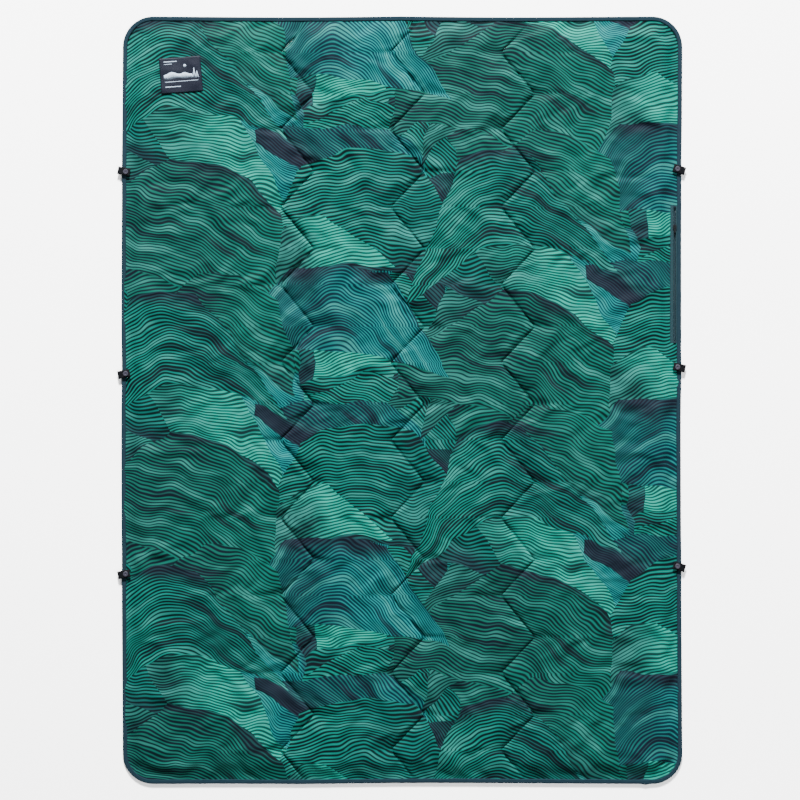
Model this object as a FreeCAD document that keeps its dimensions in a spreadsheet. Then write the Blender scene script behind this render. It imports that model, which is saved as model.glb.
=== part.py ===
"""Quilted camp blanket lying flat, printed face up, with a zipped stow pocket and six snap tabs.

Row frame: +X to the right and +Y to the top edge of the printed face, +Z up from the floor that the
blanket lies on. The origin is on the floor under the middle of the blanket. Sizes are in millimetres.
"""
import FreeCAD, Part
import math
import os
import Sketcher

SIZES = {
    # the quilt
    "blanket_width": 1370, "blanket_length": 1880, "corner_radius": 75,
    "fabric_gauge": 0.5, "edge_fill": 3.0, "fill_loft": 9.0, "ramp_run": 25,
    "binding_width": 11, "binding_gauge": 0.5, "turn_in": 2,
    "thread_gauge": 0.3, "thread_width": 1.0, "binding_seam_inset": 8.6,
    # the quilting lines
    "line_pitch": 270, "line_offset": 14.5, "line_swing": 42, "zigzag_period": 190, "zigzag_fall": 88,
    # the label
    "label_width": 103, "label_height": 87, "label_gauge": 0.5, "label_tilt": 4.6,
    "label_from_side": 145, "label_from_top": 145, "label_seam_inset": 2.5,
    # the zipped stow pocket
    "zip_inset": 16.5, "zip_from_top": 463, "zip_length": 337, "tape_width": 10.5, "tape_margin": 2,
    "zip_gap": 2.0, "coil_width": 2.2, "coil_height": 1.6, "stop_length": 5, "stop_height": 2.0,
    "slide_clearance": 0.3, "slider_plate": 1.0, "slider_flange": 0.8, "slider_length": 11,
    "plate_corner": 1.3, "slider_post": 4, "slider_from_zip_top": 53, "bag_depth": 240, "bag_gauge": 0.4, "bag_seam": 1.5,
    "bridge_width": 1.4, "bridge_bar": 0.8, "bridge_reach": 1.4, "bridge_post": 1.0,
    "pull_length": 14, "pull_width": 5, "pull_gauge": 1.0, "pull_clearance": 0.35,
    "pull_window": 2.4, "pull_window_length": 3.4, "pull_hole_radius": 1.0,
    # the snap tabs
    "snap_inset": 10, "first_tab_from_top": 374, "tab_pitch": 490,
    "ribbon_width": 19, "ribbon_gauge": 0.5, "fold_reach": 19.5, "flap_end": 10.5, "flap_droop": 0.8,
    "root_end": 10, "root_step": 1.6, "root_step_gap": 0.6,
    "snap_radius": 6.25, "cap_height": 1.6, "cap_dimple": 0.7, "cap_dimple_radius": 2.2,
    "socket_radius": 5.4, "socket_height": 1.6, "knob_radius": 1.9, "knob_height": 1.0,
    "stud_flange": 0.7, "post_flange": 0.8, "post_radius": 5.0, "prong_radius": 1.2,
    "prong_clearance": 0.1, "knob_clearance": 0.3, "snap_clearance": 0.1, "fold_clearance": 0.05,
    "bar_tack_length": 15, "bar_tack_width": 1.2, "bar_tack_height": 0.4, "bar_tack_inset": 0.8,
    "cap_edge": 0.7,
}

# name: side of the blanket, place in its row of three, shift along the edge, turn of the tab's outer end
TABS = {
    "L1": (-1, 0, -7, 168), "L2": (-1, 1, -11, 191), "L3": (-1, 2, -11, 191),
    "R1": (1, 0, 0, -18), "R2": (1, 1, 5, -13), "R3": (1, 2, 8, -18),
}

# heights above the floor, as expressions on the sheet
FILL_FOOT = "dims.binding_gauge + dims.fabric_gauge"
EDGE_TOP = f"{FILL_FOOT} + dims.edge_fill"
EDGE_SHELL_TOP = f"{EDGE_TOP} + dims.fabric_gauge"
EDGE_HEIGHT = f"{EDGE_SHELL_TOP} + dims.binding_gauge"
LOFT_TOP = "dims.fabric_gauge + dims.fill_loft"
SHELL_TOP = f"{LOFT_TOP} + dims.fabric_gauge"
COIL_TOP = f"{EDGE_SHELL_TOP} + dims.coil_height"
PLATE_FOOT = f"{COIL_TOP} + dims.slide_clearance"
PLATE_TOP = f"{PLATE_FOOT} + dims.slider_plate"
PULL_AXIS = f"{PLATE_TOP} + dims.pull_gauge / 2 + dims.pull_clearance"
ROOT_FOOT = f"{EDGE_HEIGHT} + dims.thread_gauge + dims.post_flange"
ROOT_TOP = f"{ROOT_FOOT} + dims.ribbon_gauge"
STUD_TOP = f"{ROOT_TOP} + dims.stud_flange"
SOCKET_FOOT = f"{STUD_TOP} + dims.snap_clearance"
FLAP_FOOT = f"{SOCKET_FOOT} + dims.socket_height"
FLAP_TOP = f"{FLAP_FOOT} + dims.ribbon_gauge"

# insets from the blanket's edge, as the sizes that add up to them
SHELL_INSET = ("binding_gauge",)
WINDOW_INSET = ("binding_width",)
FILL_STEP = ("binding_width", "turn_in")
RAMP_FOOT = ("zip_inset", "tape_width", "tape_margin")
RAMP_HEAD = RAMP_FOOT + ("ramp_run",)

# places across the zip, as expressions on the sheet
HALF_WIDTH = "dims.blanket_width / 2"
ZIP_X = f"({HALF_WIDTH} - dims.zip_inset)"
ZIP_TOP_Y = "(dims.blanket_length / 2 - dims.zip_from_top)"
ZIP_Y = f"({ZIP_TOP_Y} - dims.zip_length / 2)"
SLIDER_Y = f"({ZIP_TOP_Y} - dims.slider_from_zip_top)"
COIL_SPAN = "(dims.zip_gap / 2 + dims.coil_width)"
SLIDER_HALF = f"({COIL_SPAN} + dims.slide_clearance + dims.slider_flange)"
TRENCH_HALF = f"({SLIDER_HALF} + 2 * dims.slide_clearance)"

doc = FreeCAD.newDocument("camp_blanket")
sheet = doc.addObject("Spreadsheet::Sheet", "dims")
for row, (alias, number) in enumerate(SIZES.items(), start=1):
    sheet.set(f"A{row}", alias)
    sheet.set(f"B{row}", str(number))
    sheet.setAlias(f"B{row}", alias)
doc.recompute()


def cell(alias):
    return float(sheet.get(alias))


def new_body(label):
    body = doc.addObject("PartDesign::Body", label)
    body.Label = label
    return body


def new_sketch(body, role, height="0"):
    """An empty sketch on one of the body's own origin planes, moved along that plane's normal."""
    sketch = body.newObject("Sketcher::SketchObject", f"{body.Name}_sketch")
    plane = next(f for f in body.Origin.OriginFeatures if f.Role == role)
    sketch.AttachmentSupport = [(plane, "")]
    sketch.MapMode = "FlatFace"
    sketch.setExpression("AttachmentOffset.Base.z", height)
    return sketch


def bind(sketch, constraint, expression):
    """Adds a constraint and drives it from the sheet."""
    index = sketch.addConstraint(constraint)
    name = f"size{index}"
    sketch.renameConstraint(index, name)
    sketch.setExpression(f"Constraints.{name}", expression)


def polygon(sketch, corners):
    """A closed polygon whose corners are pairs of expressions."""
    count = len(corners)
    first = sketch.GeometryCount
    turns = [2 * math.pi * i / count for i in range(count + 1)]
    ring = [FreeCAD.Vector(10 * math.cos(a), 10 * math.sin(a), 0) for a in turns]
    for start, end in zip(ring, ring[1:]):
        sketch.addGeometry(Part.LineSegment(start, end))
    for i in range(count):
        following = first + (i + 1) % count
        sketch.addConstraint(Sketcher.Constraint("Coincident", first + i, 2, following, 1))
    for i, (across, along) in enumerate(corners):
        bind(sketch, Sketcher.Constraint("DistanceX", first + i, 1, float(i + 1)), across)
        bind(sketch, Sketcher.Constraint("DistanceY", first + i, 1, float(i + 1)), along)
    return sketch


def rectangle(sketch, left, right, low, high):
    return polygon(sketch, [(left, low), (right, low), (right, high), (left, high)])


def circle(sketch, across, along, radius):
    index = sketch.addGeometry(Part.Circle(FreeCAD.Vector(1, 1, 0), FreeCAD.Vector(0, 0, 1), 1))
    bind(sketch, Sketcher.Constraint("Radius", index, 1.0), radius)
    bind(sketch, Sketcher.Constraint("DistanceX", index, 3, 1.0), across)
    bind(sketch, Sketcher.Constraint("DistanceY", index, 3, 1.0), along)
    return sketch


def outline(sketch, inset):
    """The blanket's rounded outline, moved in by the sizes that inset names."""
    moved = sum(cell(name) for name in inset)
    radius = cell("corner_radius") - moved
    reach_x = cell("blanket_width") / 2 - cell("corner_radius")
    reach_y = cell("blanket_length") / 2 - cell("corner_radius")
    centres = [FreeCAD.Vector(x, y, 0) for x, y in (
        (reach_x, -reach_y), (reach_x, reach_y), (-reach_x, reach_y), (-reach_x, -reach_y))]
    first = sketch.GeometryCount
    for quarter, centre in enumerate(centres):
        ring = Part.Circle(centre, FreeCAD.Vector(0, 0, 1), radius)
        start = (quarter - 1) * math.pi / 2
        sketch.addGeometry(Part.ArcOfCircle(ring, start, start + math.pi / 2))
    for quarter in range(4):
        following = (quarter + 1) % 4
        start = sketch.getPoint(first + quarter, 2)
        end = sketch.getPoint(first + following, 1)
        side = sketch.addGeometry(Part.LineSegment(start, end))
        sketch.addConstraint(Sketcher.Constraint("Tangent", first + quarter, 2, side, 1))
        sketch.addConstraint(Sketcher.Constraint("Tangent", side, 2, first + following, 1))
        run = "Vertical" if quarter % 2 == 0 else "Horizontal"
        sketch.addConstraint(Sketcher.Constraint(run, side))
    for quarter in range(1, 4):
        sketch.addConstraint(Sketcher.Constraint("Equal", first, first + quarter))
    moved_text = " + ".join(f"dims.{name}" for name in inset) or "0"
    bind(sketch, Sketcher.Constraint("Radius", first, radius), f"dims.corner_radius - ({moved_text})")
    for quarter, sign in ((0, ("", "-")), (2, ("-", ""))):
        for axis, size, mark in (("X", "blanket_width", sign[0]), ("Y", "blanket_length", sign[1])):
            place = getattr(centres[quarter], axis.lower())
            constraint = Sketcher.Constraint(f"Distance{axis}", first + quarter, 3, place)
            bind(sketch, constraint, f"{mark}(dims.{size} / 2 - dims.corner_radius)")
    return sketch


def pad(body, sketch, height, centred=False):
    feature = body.newObject("PartDesign::Pad", f"{body.Name}_pad")
    feature.Profile = sketch
    feature.setExpression("Length", height)
    feature.Midplane = centred
    sketch.Visibility = False
    return feature


def cut_through(body, sketch):
    feature = body.newObject("PartDesign::Pocket", f"{body.Name}_cut")
    feature.Profile = sketch
    feature.Type = "ThroughAll"
    feature.Midplane = True
    return feature


def cut_across(body, sketch, width):
    feature = body.newObject("PartDesign::Pocket", f"{body.Name}_cut")
    feature.Profile = sketch
    feature.Midplane = True
    feature.setExpression("Length", width)
    return feature


def revolve(body, corners):
    """A turned piece about Z from its half section, as pairs of radius and height."""
    sketch = polygon(new_sketch(body, "XZ_Plane"), corners)
    feature = body.newObject("PartDesign::Revolution", f"{body.Name}_turn")
    feature.Profile = sketch
    feature.ReferenceAxis = (sketch, ["V_Axis"])
    feature.Angle = 360
    return feature


def slab(body, height, thickness, inset, inner=None):
    """A flat layer of the blanket's outline, or a frame of it where inner names the window's inset."""
    sketch = outline(new_sketch(body, "XY_Plane", height), inset)
    if inner:
        outline(sketch, inner)
    return pad(body, sketch, thickness)


def dome(body, kind, foot, head):
    """The sloping rise from the flat edge to the full loft, added or taken away."""
    low = outline(new_sketch(body, "XY_Plane", foot), RAMP_FOOT)
    high = outline(new_sketch(body, "XY_Plane", head), RAMP_HEAD)
    feature = body.newObject(f"PartDesign::{kind}Loft", f"{body.Name}_{kind.lower()}")
    feature.Profile = low
    feature.Sections = [high]
    feature.Ruled = True
    return feature


def domed_skin(label, lift, thickness, inset):
    """A layer of even thickness over the fill's top, lift above it."""
    body = new_body(label)
    slab(body, f"{EDGE_TOP} + {lift}", thickness, inset)
    dome(body, "Additive", f"{EDGE_TOP} + {lift} + {thickness}", f"{LOFT_TOP} + {lift} + {thickness}")
    dome(body, "Subtractive", f"{EDGE_TOP} + {lift}", f"{LOFT_TOP} + {lift}")
    return body


def bag_route(drop, inner_end):
    """The pocket's line from the flat edge up the slope and in over the fill, drop below the shell."""
    flat = f"({HALF_WIDTH} - dims.zip_inset - dims.tape_width - dims.tape_margin)"
    return [
        (flat, f"{EDGE_TOP} - {drop}"),
        (f"{flat} - dims.ramp_run", f"{LOFT_TOP} - {drop}"),
        (inner_end, f"{LOFT_TOP} - {drop}"),
    ]


def make_insulation():
    """Synthetic fill, pressed thin at the edge, with room for the pocket and the slider's lower plate."""
    body = new_body("insulation")
    slab(body, FILL_FOOT, "dims.edge_fill", SHELL_INSET)
    slab(body, "dims.fabric_gauge", "dims.binding_gauge", FILL_STEP)
    dome(body, "Additive", EDGE_TOP, LOFT_TOP)
    inner_end = f"{ZIP_X} - dims.bag_depth - dims.bag_seam"
    above = [(x, f"{z} + dims.fabric_gauge") for x, z in bag_route("0", inner_end)]
    below = bag_route("2 * dims.bag_gauge", inner_end)[::-1]
    corners = [
        (f"{HALF_WIDTH} + dims.binding_gauge", FILL_FOOT),
        (f"{HALF_WIDTH} + dims.binding_gauge", f"{FILL_FOOT} + dims.bag_gauge"),
        (f"{ZIP_X} + {TRENCH_HALF}", f"{FILL_FOOT} + dims.bag_gauge"),
        (f"{ZIP_X} + {TRENCH_HALF}", EDGE_SHELL_TOP),
        *above, *below,
        (f"{ZIP_X} - {TRENCH_HALF} - dims.bag_gauge", f"{EDGE_TOP} - 2 * dims.bag_gauge"),
        (f"{ZIP_X} - {TRENCH_HALF} - dims.bag_gauge", FILL_FOOT),
    ]
    room = polygon(new_sketch(body, "XZ_Plane", f"-{ZIP_Y}"), corners)
    cut_across(body, room, "dims.zip_length + 2 * dims.bag_seam")
    return body


def make_front_shell():
    """Printed front fabric, open where the zip's tapes take its place."""
    body = domed_skin("front_shell", "0", "dims.fabric_gauge", SHELL_INSET)
    slot = new_sketch(body, "XY_Plane", EDGE_TOP)
    rectangle(slot, f"{ZIP_X} - dims.tape_width", f"{HALF_WIDTH} + dims.binding_gauge",
              f"{ZIP_TOP_Y} - dims.zip_length", ZIP_TOP_Y)
    cut_through(body, slot)
    return body


def make_binding():
    """Tape folded over the raw edge: back leg, web and front leg."""
    body = new_body("edge_binding")
    slab(body, "0", "dims.binding_gauge", (), WINDOW_INSET)
    web_height = "2 * dims.fabric_gauge + dims.edge_fill"
    slab(body, "dims.binding_gauge", web_height, (), SHELL_INSET)
    slab(body, EDGE_SHELL_TOP, "dims.binding_gauge", (), WINDOW_INSET)
    return body


def box(label, across, along, upright):
    """A plain block between pairs of expressions."""
    block = doc.addObject("Part::Box", label)
    block.Label = label
    for axis, size, (low, high) in zip("xyz", ("Length", "Width", "Height"), (across, along, upright)):
        block.setExpression(size, f"({high}) - ({low})")
        block.setExpression(f"Placement.Base.{axis}", low)
    return block


def group(label, members):
    """Separate solids that share one node."""
    compound = doc.addObject("Part::Compound", label)
    compound.Label = label
    compound.Links = members
    return compound


def seam_wall(column):
    """One zigzag quilting line as a thin upright wall, from the top edge down to the bottom edge."""
    middle = cell("line_offset") + (column - 1) * cell("line_pitch")
    swing = cell("line_swing")
    top = cell("blanket_length") / 2
    points = []
    place = top
    while place > -top - cell("zigzag_period"):
        points.append(FreeCAD.Vector(middle + swing, place, 0))
        points.append(FreeCAD.Vector(middle - swing, place - cell("zigzag_fall"), 0))
        place -= cell("zigzag_period")
    # each strand's miter carries the line's width round the turn
    sides = ([], [])
    for before, point, after in zip(points, points[1:], points[2:]):
        arrive = (point - before).normalize()
        leave = (after - point).normalize()
        middle_normal = FreeCAD.Vector(-(arrive + leave).y, (arrive + leave).x, 0).normalize()
        miter = cell("thread_width") / 2 / abs(middle_normal.dot(FreeCAD.Vector(-leave.y, leave.x, 0)))
        sides[0].append(point + middle_normal * miter)
        sides[1].append(point - middle_normal * miter)
    half = cell("thread_width") / 2
    start = (points[1] - points[0]).normalize()
    across = FreeCAD.Vector(-start.y, start.x, 0) * half
    loop = [points[0] + across, *sides[0], *sides[1][::-1], points[0] - across]
    face = Part.Face(Part.makePolygon(loop + loop[:1]))
    return face.extrude(FreeCAD.Vector(0, 0, cell("fill_loft") * 2))


def make_quilting():
    """Top and bobbin threads of the quilting lines, and the back shell that the bobbin thread bites into."""
    walls = doc.addObject("Part::Feature", "quilting_walls")
    walls.Shape = Part.makeCompound([seam_wall(column) for column in range(3)])
    front_layer = domed_skin("front_thread_layer", "dims.fabric_gauge", "dims.thread_gauge", FILL_STEP)
    back_layer = new_body("back_thread_layer")
    slab(back_layer, "0", "dims.thread_gauge", FILL_STEP)
    threads = []
    for label, layer in (("quilt_stitching_front", front_layer), ("quilt_stitching_back", back_layer)):
        thread = doc.addObject("Part::Common", label)
        thread.Label = label
        thread.Base = walls
        thread.Tool = layer
        threads.append(thread)
    cloth = new_body("back_cloth")
    slab(cloth, "dims.binding_gauge", "dims.fabric_gauge", SHELL_INSET, FILL_STEP)
    slab(cloth, "0", "dims.fabric_gauge", ("binding_width", "thread_gauge"))
    back_shell = doc.addObject("Part::Cut", "back_shell")
    back_shell.Label = "back_shell"
    back_shell.Base = cloth
    back_shell.Tool = threads[1]
    return [back_shell, *threads]


def make_binding_stitching():
    """One line of thread round the binding's front leg."""
    body = new_body("binding_stitching")
    slab(body, EDGE_HEIGHT, "dims.thread_gauge", ("binding_seam_inset",),
         ("binding_seam_inset", "thread_width"))
    return body


def lay_label(body):
    body.Placement = FreeCAD.Placement(
        FreeCAD.Vector(), FreeCAD.Rotation(FreeCAD.Vector(0, 0, 1), cell("label_tilt")))
    body.setExpression("Placement.Base.x", f"dims.label_from_side - {HALF_WIDTH}")
    body.setExpression("Placement.Base.y", "dims.blanket_length / 2 - dims.label_from_top")
    body.setExpression("Placement.Rotation.Angle", "dims.label_tilt")


def label_edge(sketch, inset):
    across = f"(dims.label_width / 2 - {inset})"
    along = f"(dims.label_height / 2 - {inset})"
    return rectangle(sketch, f"-{across}", across, f"-{along}", along)


def make_label():
    """Woven patch, laid a little askew, with its line of stitching."""
    patch = new_body("label")
    pad(patch, label_edge(new_sketch(patch, "XY_Plane", SHELL_TOP), "0"), "dims.label_gauge")
    seam = new_body("label_stitching")
    ring = new_sketch(seam, "XY_Plane", f"{SHELL_TOP} + dims.label_gauge")
    label_edge(ring, "dims.label_seam_inset")
    label_edge(ring, "(dims.label_seam_inset + dims.thread_width)")
    pad(seam, ring, "dims.thread_gauge")
    for body in (patch, seam):
        lay_label(body)
    return [patch, seam]


def make_zip_tapes():
    """Two tapes level with the front shell, two coils on them, a stop at each end and the seams."""
    low = f"{ZIP_TOP_Y} - dims.zip_length"
    tape = (EDGE_TOP, EDGE_SHELL_TOP)
    coil = (EDGE_SHELL_TOP, COIL_TOP)
    stop = (EDGE_SHELL_TOP, f"{EDGE_SHELL_TOP} + dims.stop_height")
    whole = (low, ZIP_TOP_Y)
    between = (f"{low} + dims.stop_length", f"{ZIP_TOP_Y} - dims.stop_length")
    near, far = f"{ZIP_X} - dims.zip_gap / 2", f"{ZIP_X} + dims.zip_gap / 2"
    across_stop = (f"{ZIP_X} - {COIL_SPAN}", f"{ZIP_X} + {COIL_SPAN}")
    seam = (EDGE_SHELL_TOP, f"{EDGE_SHELL_TOP} + dims.thread_gauge")
    outer_seam = f"{ZIP_X} - dims.tape_width + dims.thread_width"
    inner_seam = f"{ZIP_X} - {TRENCH_HALF} - dims.thread_width"
    seams = [
        box(f"zip_seam_{i}", (x, f"{x} + dims.thread_width"), whole, seam)
        for i, x in enumerate((outer_seam, inner_seam))
    ]
    return [
        box("zipper_tape_inner", (f"{ZIP_X} - dims.tape_width", near), whole, tape),
        box("zipper_tape_outer", (far, f"{HALF_WIDTH} - dims.binding_gauge"), whole, tape),
        box("zipper_coil_inner", (f"{near} - dims.coil_width", near), between, coil),
        box("zipper_coil_outer", (far, f"{far} + dims.coil_width"), between, coil),
        box("zipper_top_stop", across_stop, (between[1], ZIP_TOP_Y), stop),
        box("zipper_bottom_stop", across_stop, (low, between[0]), stop),
        group("zipper_stitching", seams),
    ]


def at_slider(body):
    body.setExpression("Placement.Base.x", ZIP_X)
    body.setExpression("Placement.Base.y", SLIDER_Y)


def plate(body, half_width, height, thickness):
    """A flat plate of the slider with its four corners cut off."""
    half_length = "dims.slider_length / 2"
    narrow = f"({half_width} - dims.plate_corner)"
    short = f"({half_length} - dims.plate_corner)"
    corners = [
        (half_width, f"-{short}"), (half_width, short), (narrow, half_length), (f"-{narrow}", half_length),
        (f"-{half_width}", short), (f"-{half_width}", f"-{short}"), (f"-{narrow}", f"-{half_length}"),
        (narrow, f"-{half_length}"),
    ]
    pad(body, polygon(new_sketch(body, "XY_Plane", height), corners), thickness)


def make_slider():
    """Slider: lower plate, post between the coils, upper plate with two flanges, and the pull's bridge."""
    body = new_body("zipper_slider")
    lower_top = f"{EDGE_TOP} - dims.slide_clearance"
    plate(body, f"({SLIDER_HALF} - dims.slide_clearance)", f"{lower_top} - dims.slider_plate",
          "dims.slider_plate")
    post = new_sketch(body, "XY_Plane", lower_top)
    post_half = "(dims.zip_gap / 2 - dims.slide_clearance)"
    rectangle(post, f"-{post_half}", post_half, "-dims.slider_post / 2", "dims.slider_post / 2")
    pad(body, post, f"({PLATE_FOOT}) - ({lower_top})")
    plate(body, SLIDER_HALF, PLATE_FOOT, "dims.slider_plate")
    flange_foot = f"{EDGE_SHELL_TOP} + dims.slide_clearance"
    inside = f"({SLIDER_HALF} - dims.slider_flange)"
    reach = "(dims.slider_length / 2 - dims.plate_corner)"
    flanges = new_sketch(body, "XY_Plane", flange_foot)
    rectangle(flanges, inside, SLIDER_HALF, f"-{reach}", reach)
    rectangle(flanges, f"-{SLIDER_HALF}", f"-{inside}", f"-{reach}", reach)
    pad(body, flanges, f"({PLATE_FOOT}) - ({flange_foot})")
    reach = "dims.bridge_reach"
    end = f"({reach} + dims.bridge_post)"
    under = f"{PULL_AXIS} + dims.pull_gauge / 2 + dims.pull_clearance"
    over = f"{under} + dims.bridge_bar"
    corners = [
        (f"-{end}", PLATE_TOP), (f"-{end}", over), (end, over), (end, PLATE_TOP),
        (reach, PLATE_TOP), (reach, under), (f"-{reach}", under), (f"-{reach}", PLATE_TOP),
    ]
    pad(body, polygon(new_sketch(body, "YZ_Plane"), corners), "dims.bridge_width", centred=True)
    at_slider(body)
    return body


def make_pull():
    """Pull tab, lying along the zip, with a bar under the bridge and a finger hole's worth of grip."""
    body = new_body("zipper_pull")
    half = "dims.pull_width / 2"
    narrow = f"({half} - dims.plate_corner)"
    tail = "-dims.pull_length"
    corners = [
        (half, "dims.pull_gauge / 2"), (f"-{half}", "dims.pull_gauge / 2"),
        (f"-{half}", f"{tail} + dims.plate_corner"), (f"-{narrow}", tail), (narrow, tail),
        (half, f"{tail} + dims.plate_corner"),
    ]
    foot = f"{PULL_AXIS} - dims.pull_gauge / 2"
    pad(body, polygon(new_sketch(body, "XY_Plane", foot), corners), "dims.pull_gauge")
    openings = new_sketch(body, "XY_Plane", foot)
    rectangle(openings, "-dims.pull_window / 2", "dims.pull_window / 2",
              "-dims.pull_window_length", "-dims.pull_gauge / 2")
    circle(openings, "0", f"{tail} + dims.pull_width / 2", "dims.pull_hole_radius")
    cut_through(body, openings)
    at_slider(body)
    return body


def along_zip(body, profile, length, middle=ZIP_Y):
    """Pads a profile drawn across the zip, centred on a place along it."""
    pad(body, profile, length, centred=True)
    body.setExpression("Placement.Base.y", middle)
    return body


def make_pocket():
    """Flat bag between the front shell and the fill: two panels and the seam round three sides."""
    inner_end = f"{ZIP_X} - dims.bag_depth"
    mouth = f"{ZIP_X} - {TRENCH_HALF}"
    hem = f"{HALF_WIDTH} - dims.binding_gauge"
    gauge = "dims.bag_gauge"
    mid_route = bag_route(gauge, inner_end)
    low_route = bag_route(f"2 * {gauge}", inner_end)
    front_corners = [
        (mouth, EDGE_TOP), *bag_route("0", inner_end), *mid_route[::-1], (mouth, f"{EDGE_TOP} - {gauge}")]
    back_corners = [
        (hem, FILL_FOOT), (hem, f"{FILL_FOOT} + {gauge}"), (mouth, f"{FILL_FOOT} + {gauge}"),
        (mouth, f"{EDGE_TOP} - {gauge}"), *mid_route, *low_route[::-1],
        (f"{mouth} - {gauge}", f"{EDGE_TOP} - 2 * {gauge}"), (f"{mouth} - {gauge}", FILL_FOOT)]
    seam_corners = [
        (mouth, EDGE_TOP), *bag_route("0", inner_end), *low_route[::-1],
        (mouth, f"{EDGE_TOP} - 2 * {gauge}")]
    pieces = []
    for label, corners in (("pocket_front_panel", front_corners), ("pocket_back_panel", back_corners)):
        body = new_body(label)
        pieces.append(along_zip(body, polygon(new_sketch(body, "XZ_Plane"), corners), "dims.zip_length"))
    seams = []
    for sign in "-+":
        body = new_body("bag_end_seam")
        middle = f"{ZIP_Y} {sign} (dims.zip_length + dims.bag_seam) / 2"
        profile = polygon(new_sketch(body, "XZ_Plane"), seam_corners)
        seams.append(along_zip(body, profile, "dims.bag_seam", middle))
    low = f"{ZIP_TOP_Y} - dims.zip_length"
    seams.append(box("bag_far_seam", (f"{inner_end} - dims.bag_seam", inner_end), (low, ZIP_TOP_Y),
                     (f"{LOFT_TOP} - 2 * {gauge}", LOFT_TOP)))
    return [*pieces, group("pocket_stitching", seams)]


def place_tab(body, name):
    """Moves a piece made about the snap's centre, outer end along +X, to its tab on the blanket."""
    side, row, shift, turn = TABS[name]
    body.Placement = FreeCAD.Placement(
        FreeCAD.Vector(), FreeCAD.Rotation(FreeCAD.Vector(0, 0, 1), turn))
    body.setExpression("Placement.Base.x", f"{side} * ({HALF_WIDTH} - dims.snap_inset)")
    body.setExpression(
        "Placement.Base.y",
        f"dims.blanket_length / 2 - dims.first_tab_from_top - {row} * dims.tab_pitch + {shift}")
    return body


def make_ribbon(label, corners):
    """A ribbon bent along its length, with a hole for the snap's prong."""
    body = new_body(label)
    profile = polygon(new_sketch(body, "XZ_Plane"), corners)
    pad(body, profile, "dims.ribbon_width", centred=True)
    hole = circle(new_sketch(body, "XY_Plane"), "0", "0", "dims.prong_radius + dims.prong_clearance")
    cut_through(body, hole)
    return body


def make_root_ribbon(name):
    """Ribbon's sewn end: over the snap's post, then down onto the front shell."""
    step_top = "-(dims.post_radius + dims.root_step_gap)"
    step_foot = f"{step_top} - dims.root_step"
    sewn_top = f"{EDGE_SHELL_TOP} + dims.ribbon_gauge"
    corners = [
        ("dims.fold_reach", ROOT_FOOT), ("dims.fold_reach", ROOT_TOP), (step_top, ROOT_TOP),
        (step_foot, sewn_top), ("-dims.root_end", sewn_top), ("-dims.root_end", EDGE_SHELL_TOP),
        (step_foot, EDGE_SHELL_TOP), (step_top, ROOT_FOOT),
    ]
    return make_ribbon(f"tab_root_{name}", corners)


def make_flap_ribbon(name):
    """Ribbon's folded end: up from the fold, over the socket and a little down at its free end."""
    fold = f"{ROOT_TOP} + 2 * dims.fold_clearance"
    corners = [
        ("dims.fold_reach", fold), ("dims.fold_reach", f"{fold} + dims.ribbon_gauge"),
        ("dims.snap_radius", FLAP_TOP), ("-dims.snap_radius", FLAP_TOP),
        ("-dims.flap_end", f"{FLAP_TOP} - dims.flap_droop"),
        ("-dims.flap_end", f"{FLAP_FOOT} - dims.flap_droop"),
        ("-dims.snap_radius", FLAP_FOOT), ("dims.snap_radius", FLAP_FOOT),
    ]
    return make_ribbon(f"tab_flap_{name}", corners)


def make_snap(name):
    """The snap's four turned pieces and the bar tack, about the snap's centre."""
    prong_wall = "(dims.prong_radius + dims.prong_clearance)"
    knob_top = f"{STUD_TOP} + dims.knob_height"
    ceiling = f"{knob_top} + 2 * dims.snap_clearance"
    cap_top = f"{FLAP_TOP} + dims.cap_height"
    bore = "(dims.knob_radius + dims.knob_clearance)"
    post_foot = f"{EDGE_HEIGHT} + dims.thread_gauge"
    sections = {
        f"snap_cap_{name}": [
            ("0", ceiling), ("dims.prong_radius", ceiling), ("dims.prong_radius", FLAP_TOP),
            ("dims.snap_radius", FLAP_TOP), ("dims.snap_radius", f"{cap_top} - dims.cap_edge"),
            ("dims.snap_radius - dims.cap_edge", cap_top), ("dims.cap_dimple_radius", cap_top),
            ("dims.cap_dimple_radius - dims.cap_dimple", f"{cap_top} - dims.cap_dimple"),
            ("0", f"{cap_top} - dims.cap_dimple")],
        f"snap_socket_{name}": [
            (bore, SOCKET_FOOT), ("dims.socket_radius", SOCKET_FOOT), ("dims.socket_radius", FLAP_FOOT),
            (prong_wall, FLAP_FOOT), (prong_wall, ceiling), (bore, ceiling)],
        f"snap_stud_{name}": [
            (prong_wall, ROOT_TOP), ("dims.socket_radius", ROOT_TOP), ("dims.socket_radius", STUD_TOP),
            ("dims.knob_radius", STUD_TOP), ("dims.knob_radius", knob_top), (prong_wall, knob_top)],
        f"snap_post_{name}": [
            ("0", post_foot), ("dims.post_radius", post_foot), ("dims.post_radius", ROOT_FOOT),
            ("dims.prong_radius", ROOT_FOOT), ("dims.prong_radius", knob_top), ("0", knob_top)],
    }
    pieces = []
    for label, corners in sections.items():
        pieces.append(new_body(label))
        revolve(pieces[-1], corners)
    tack = new_body(f"bar_tack_{name}")
    sewn_top = f"{EDGE_SHELL_TOP} + dims.ribbon_gauge"
    outer = "-(dims.root_end - dims.bar_tack_inset)"
    sketch = rectangle(new_sketch(tack, "XY_Plane", sewn_top), outer, f"{outer} + dims.bar_tack_width",
                       "-dims.bar_tack_length / 2", "dims.bar_tack_length / 2")
    pad(tack, sketch, "dims.bar_tack_height")
    return pieces + [tack]


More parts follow.
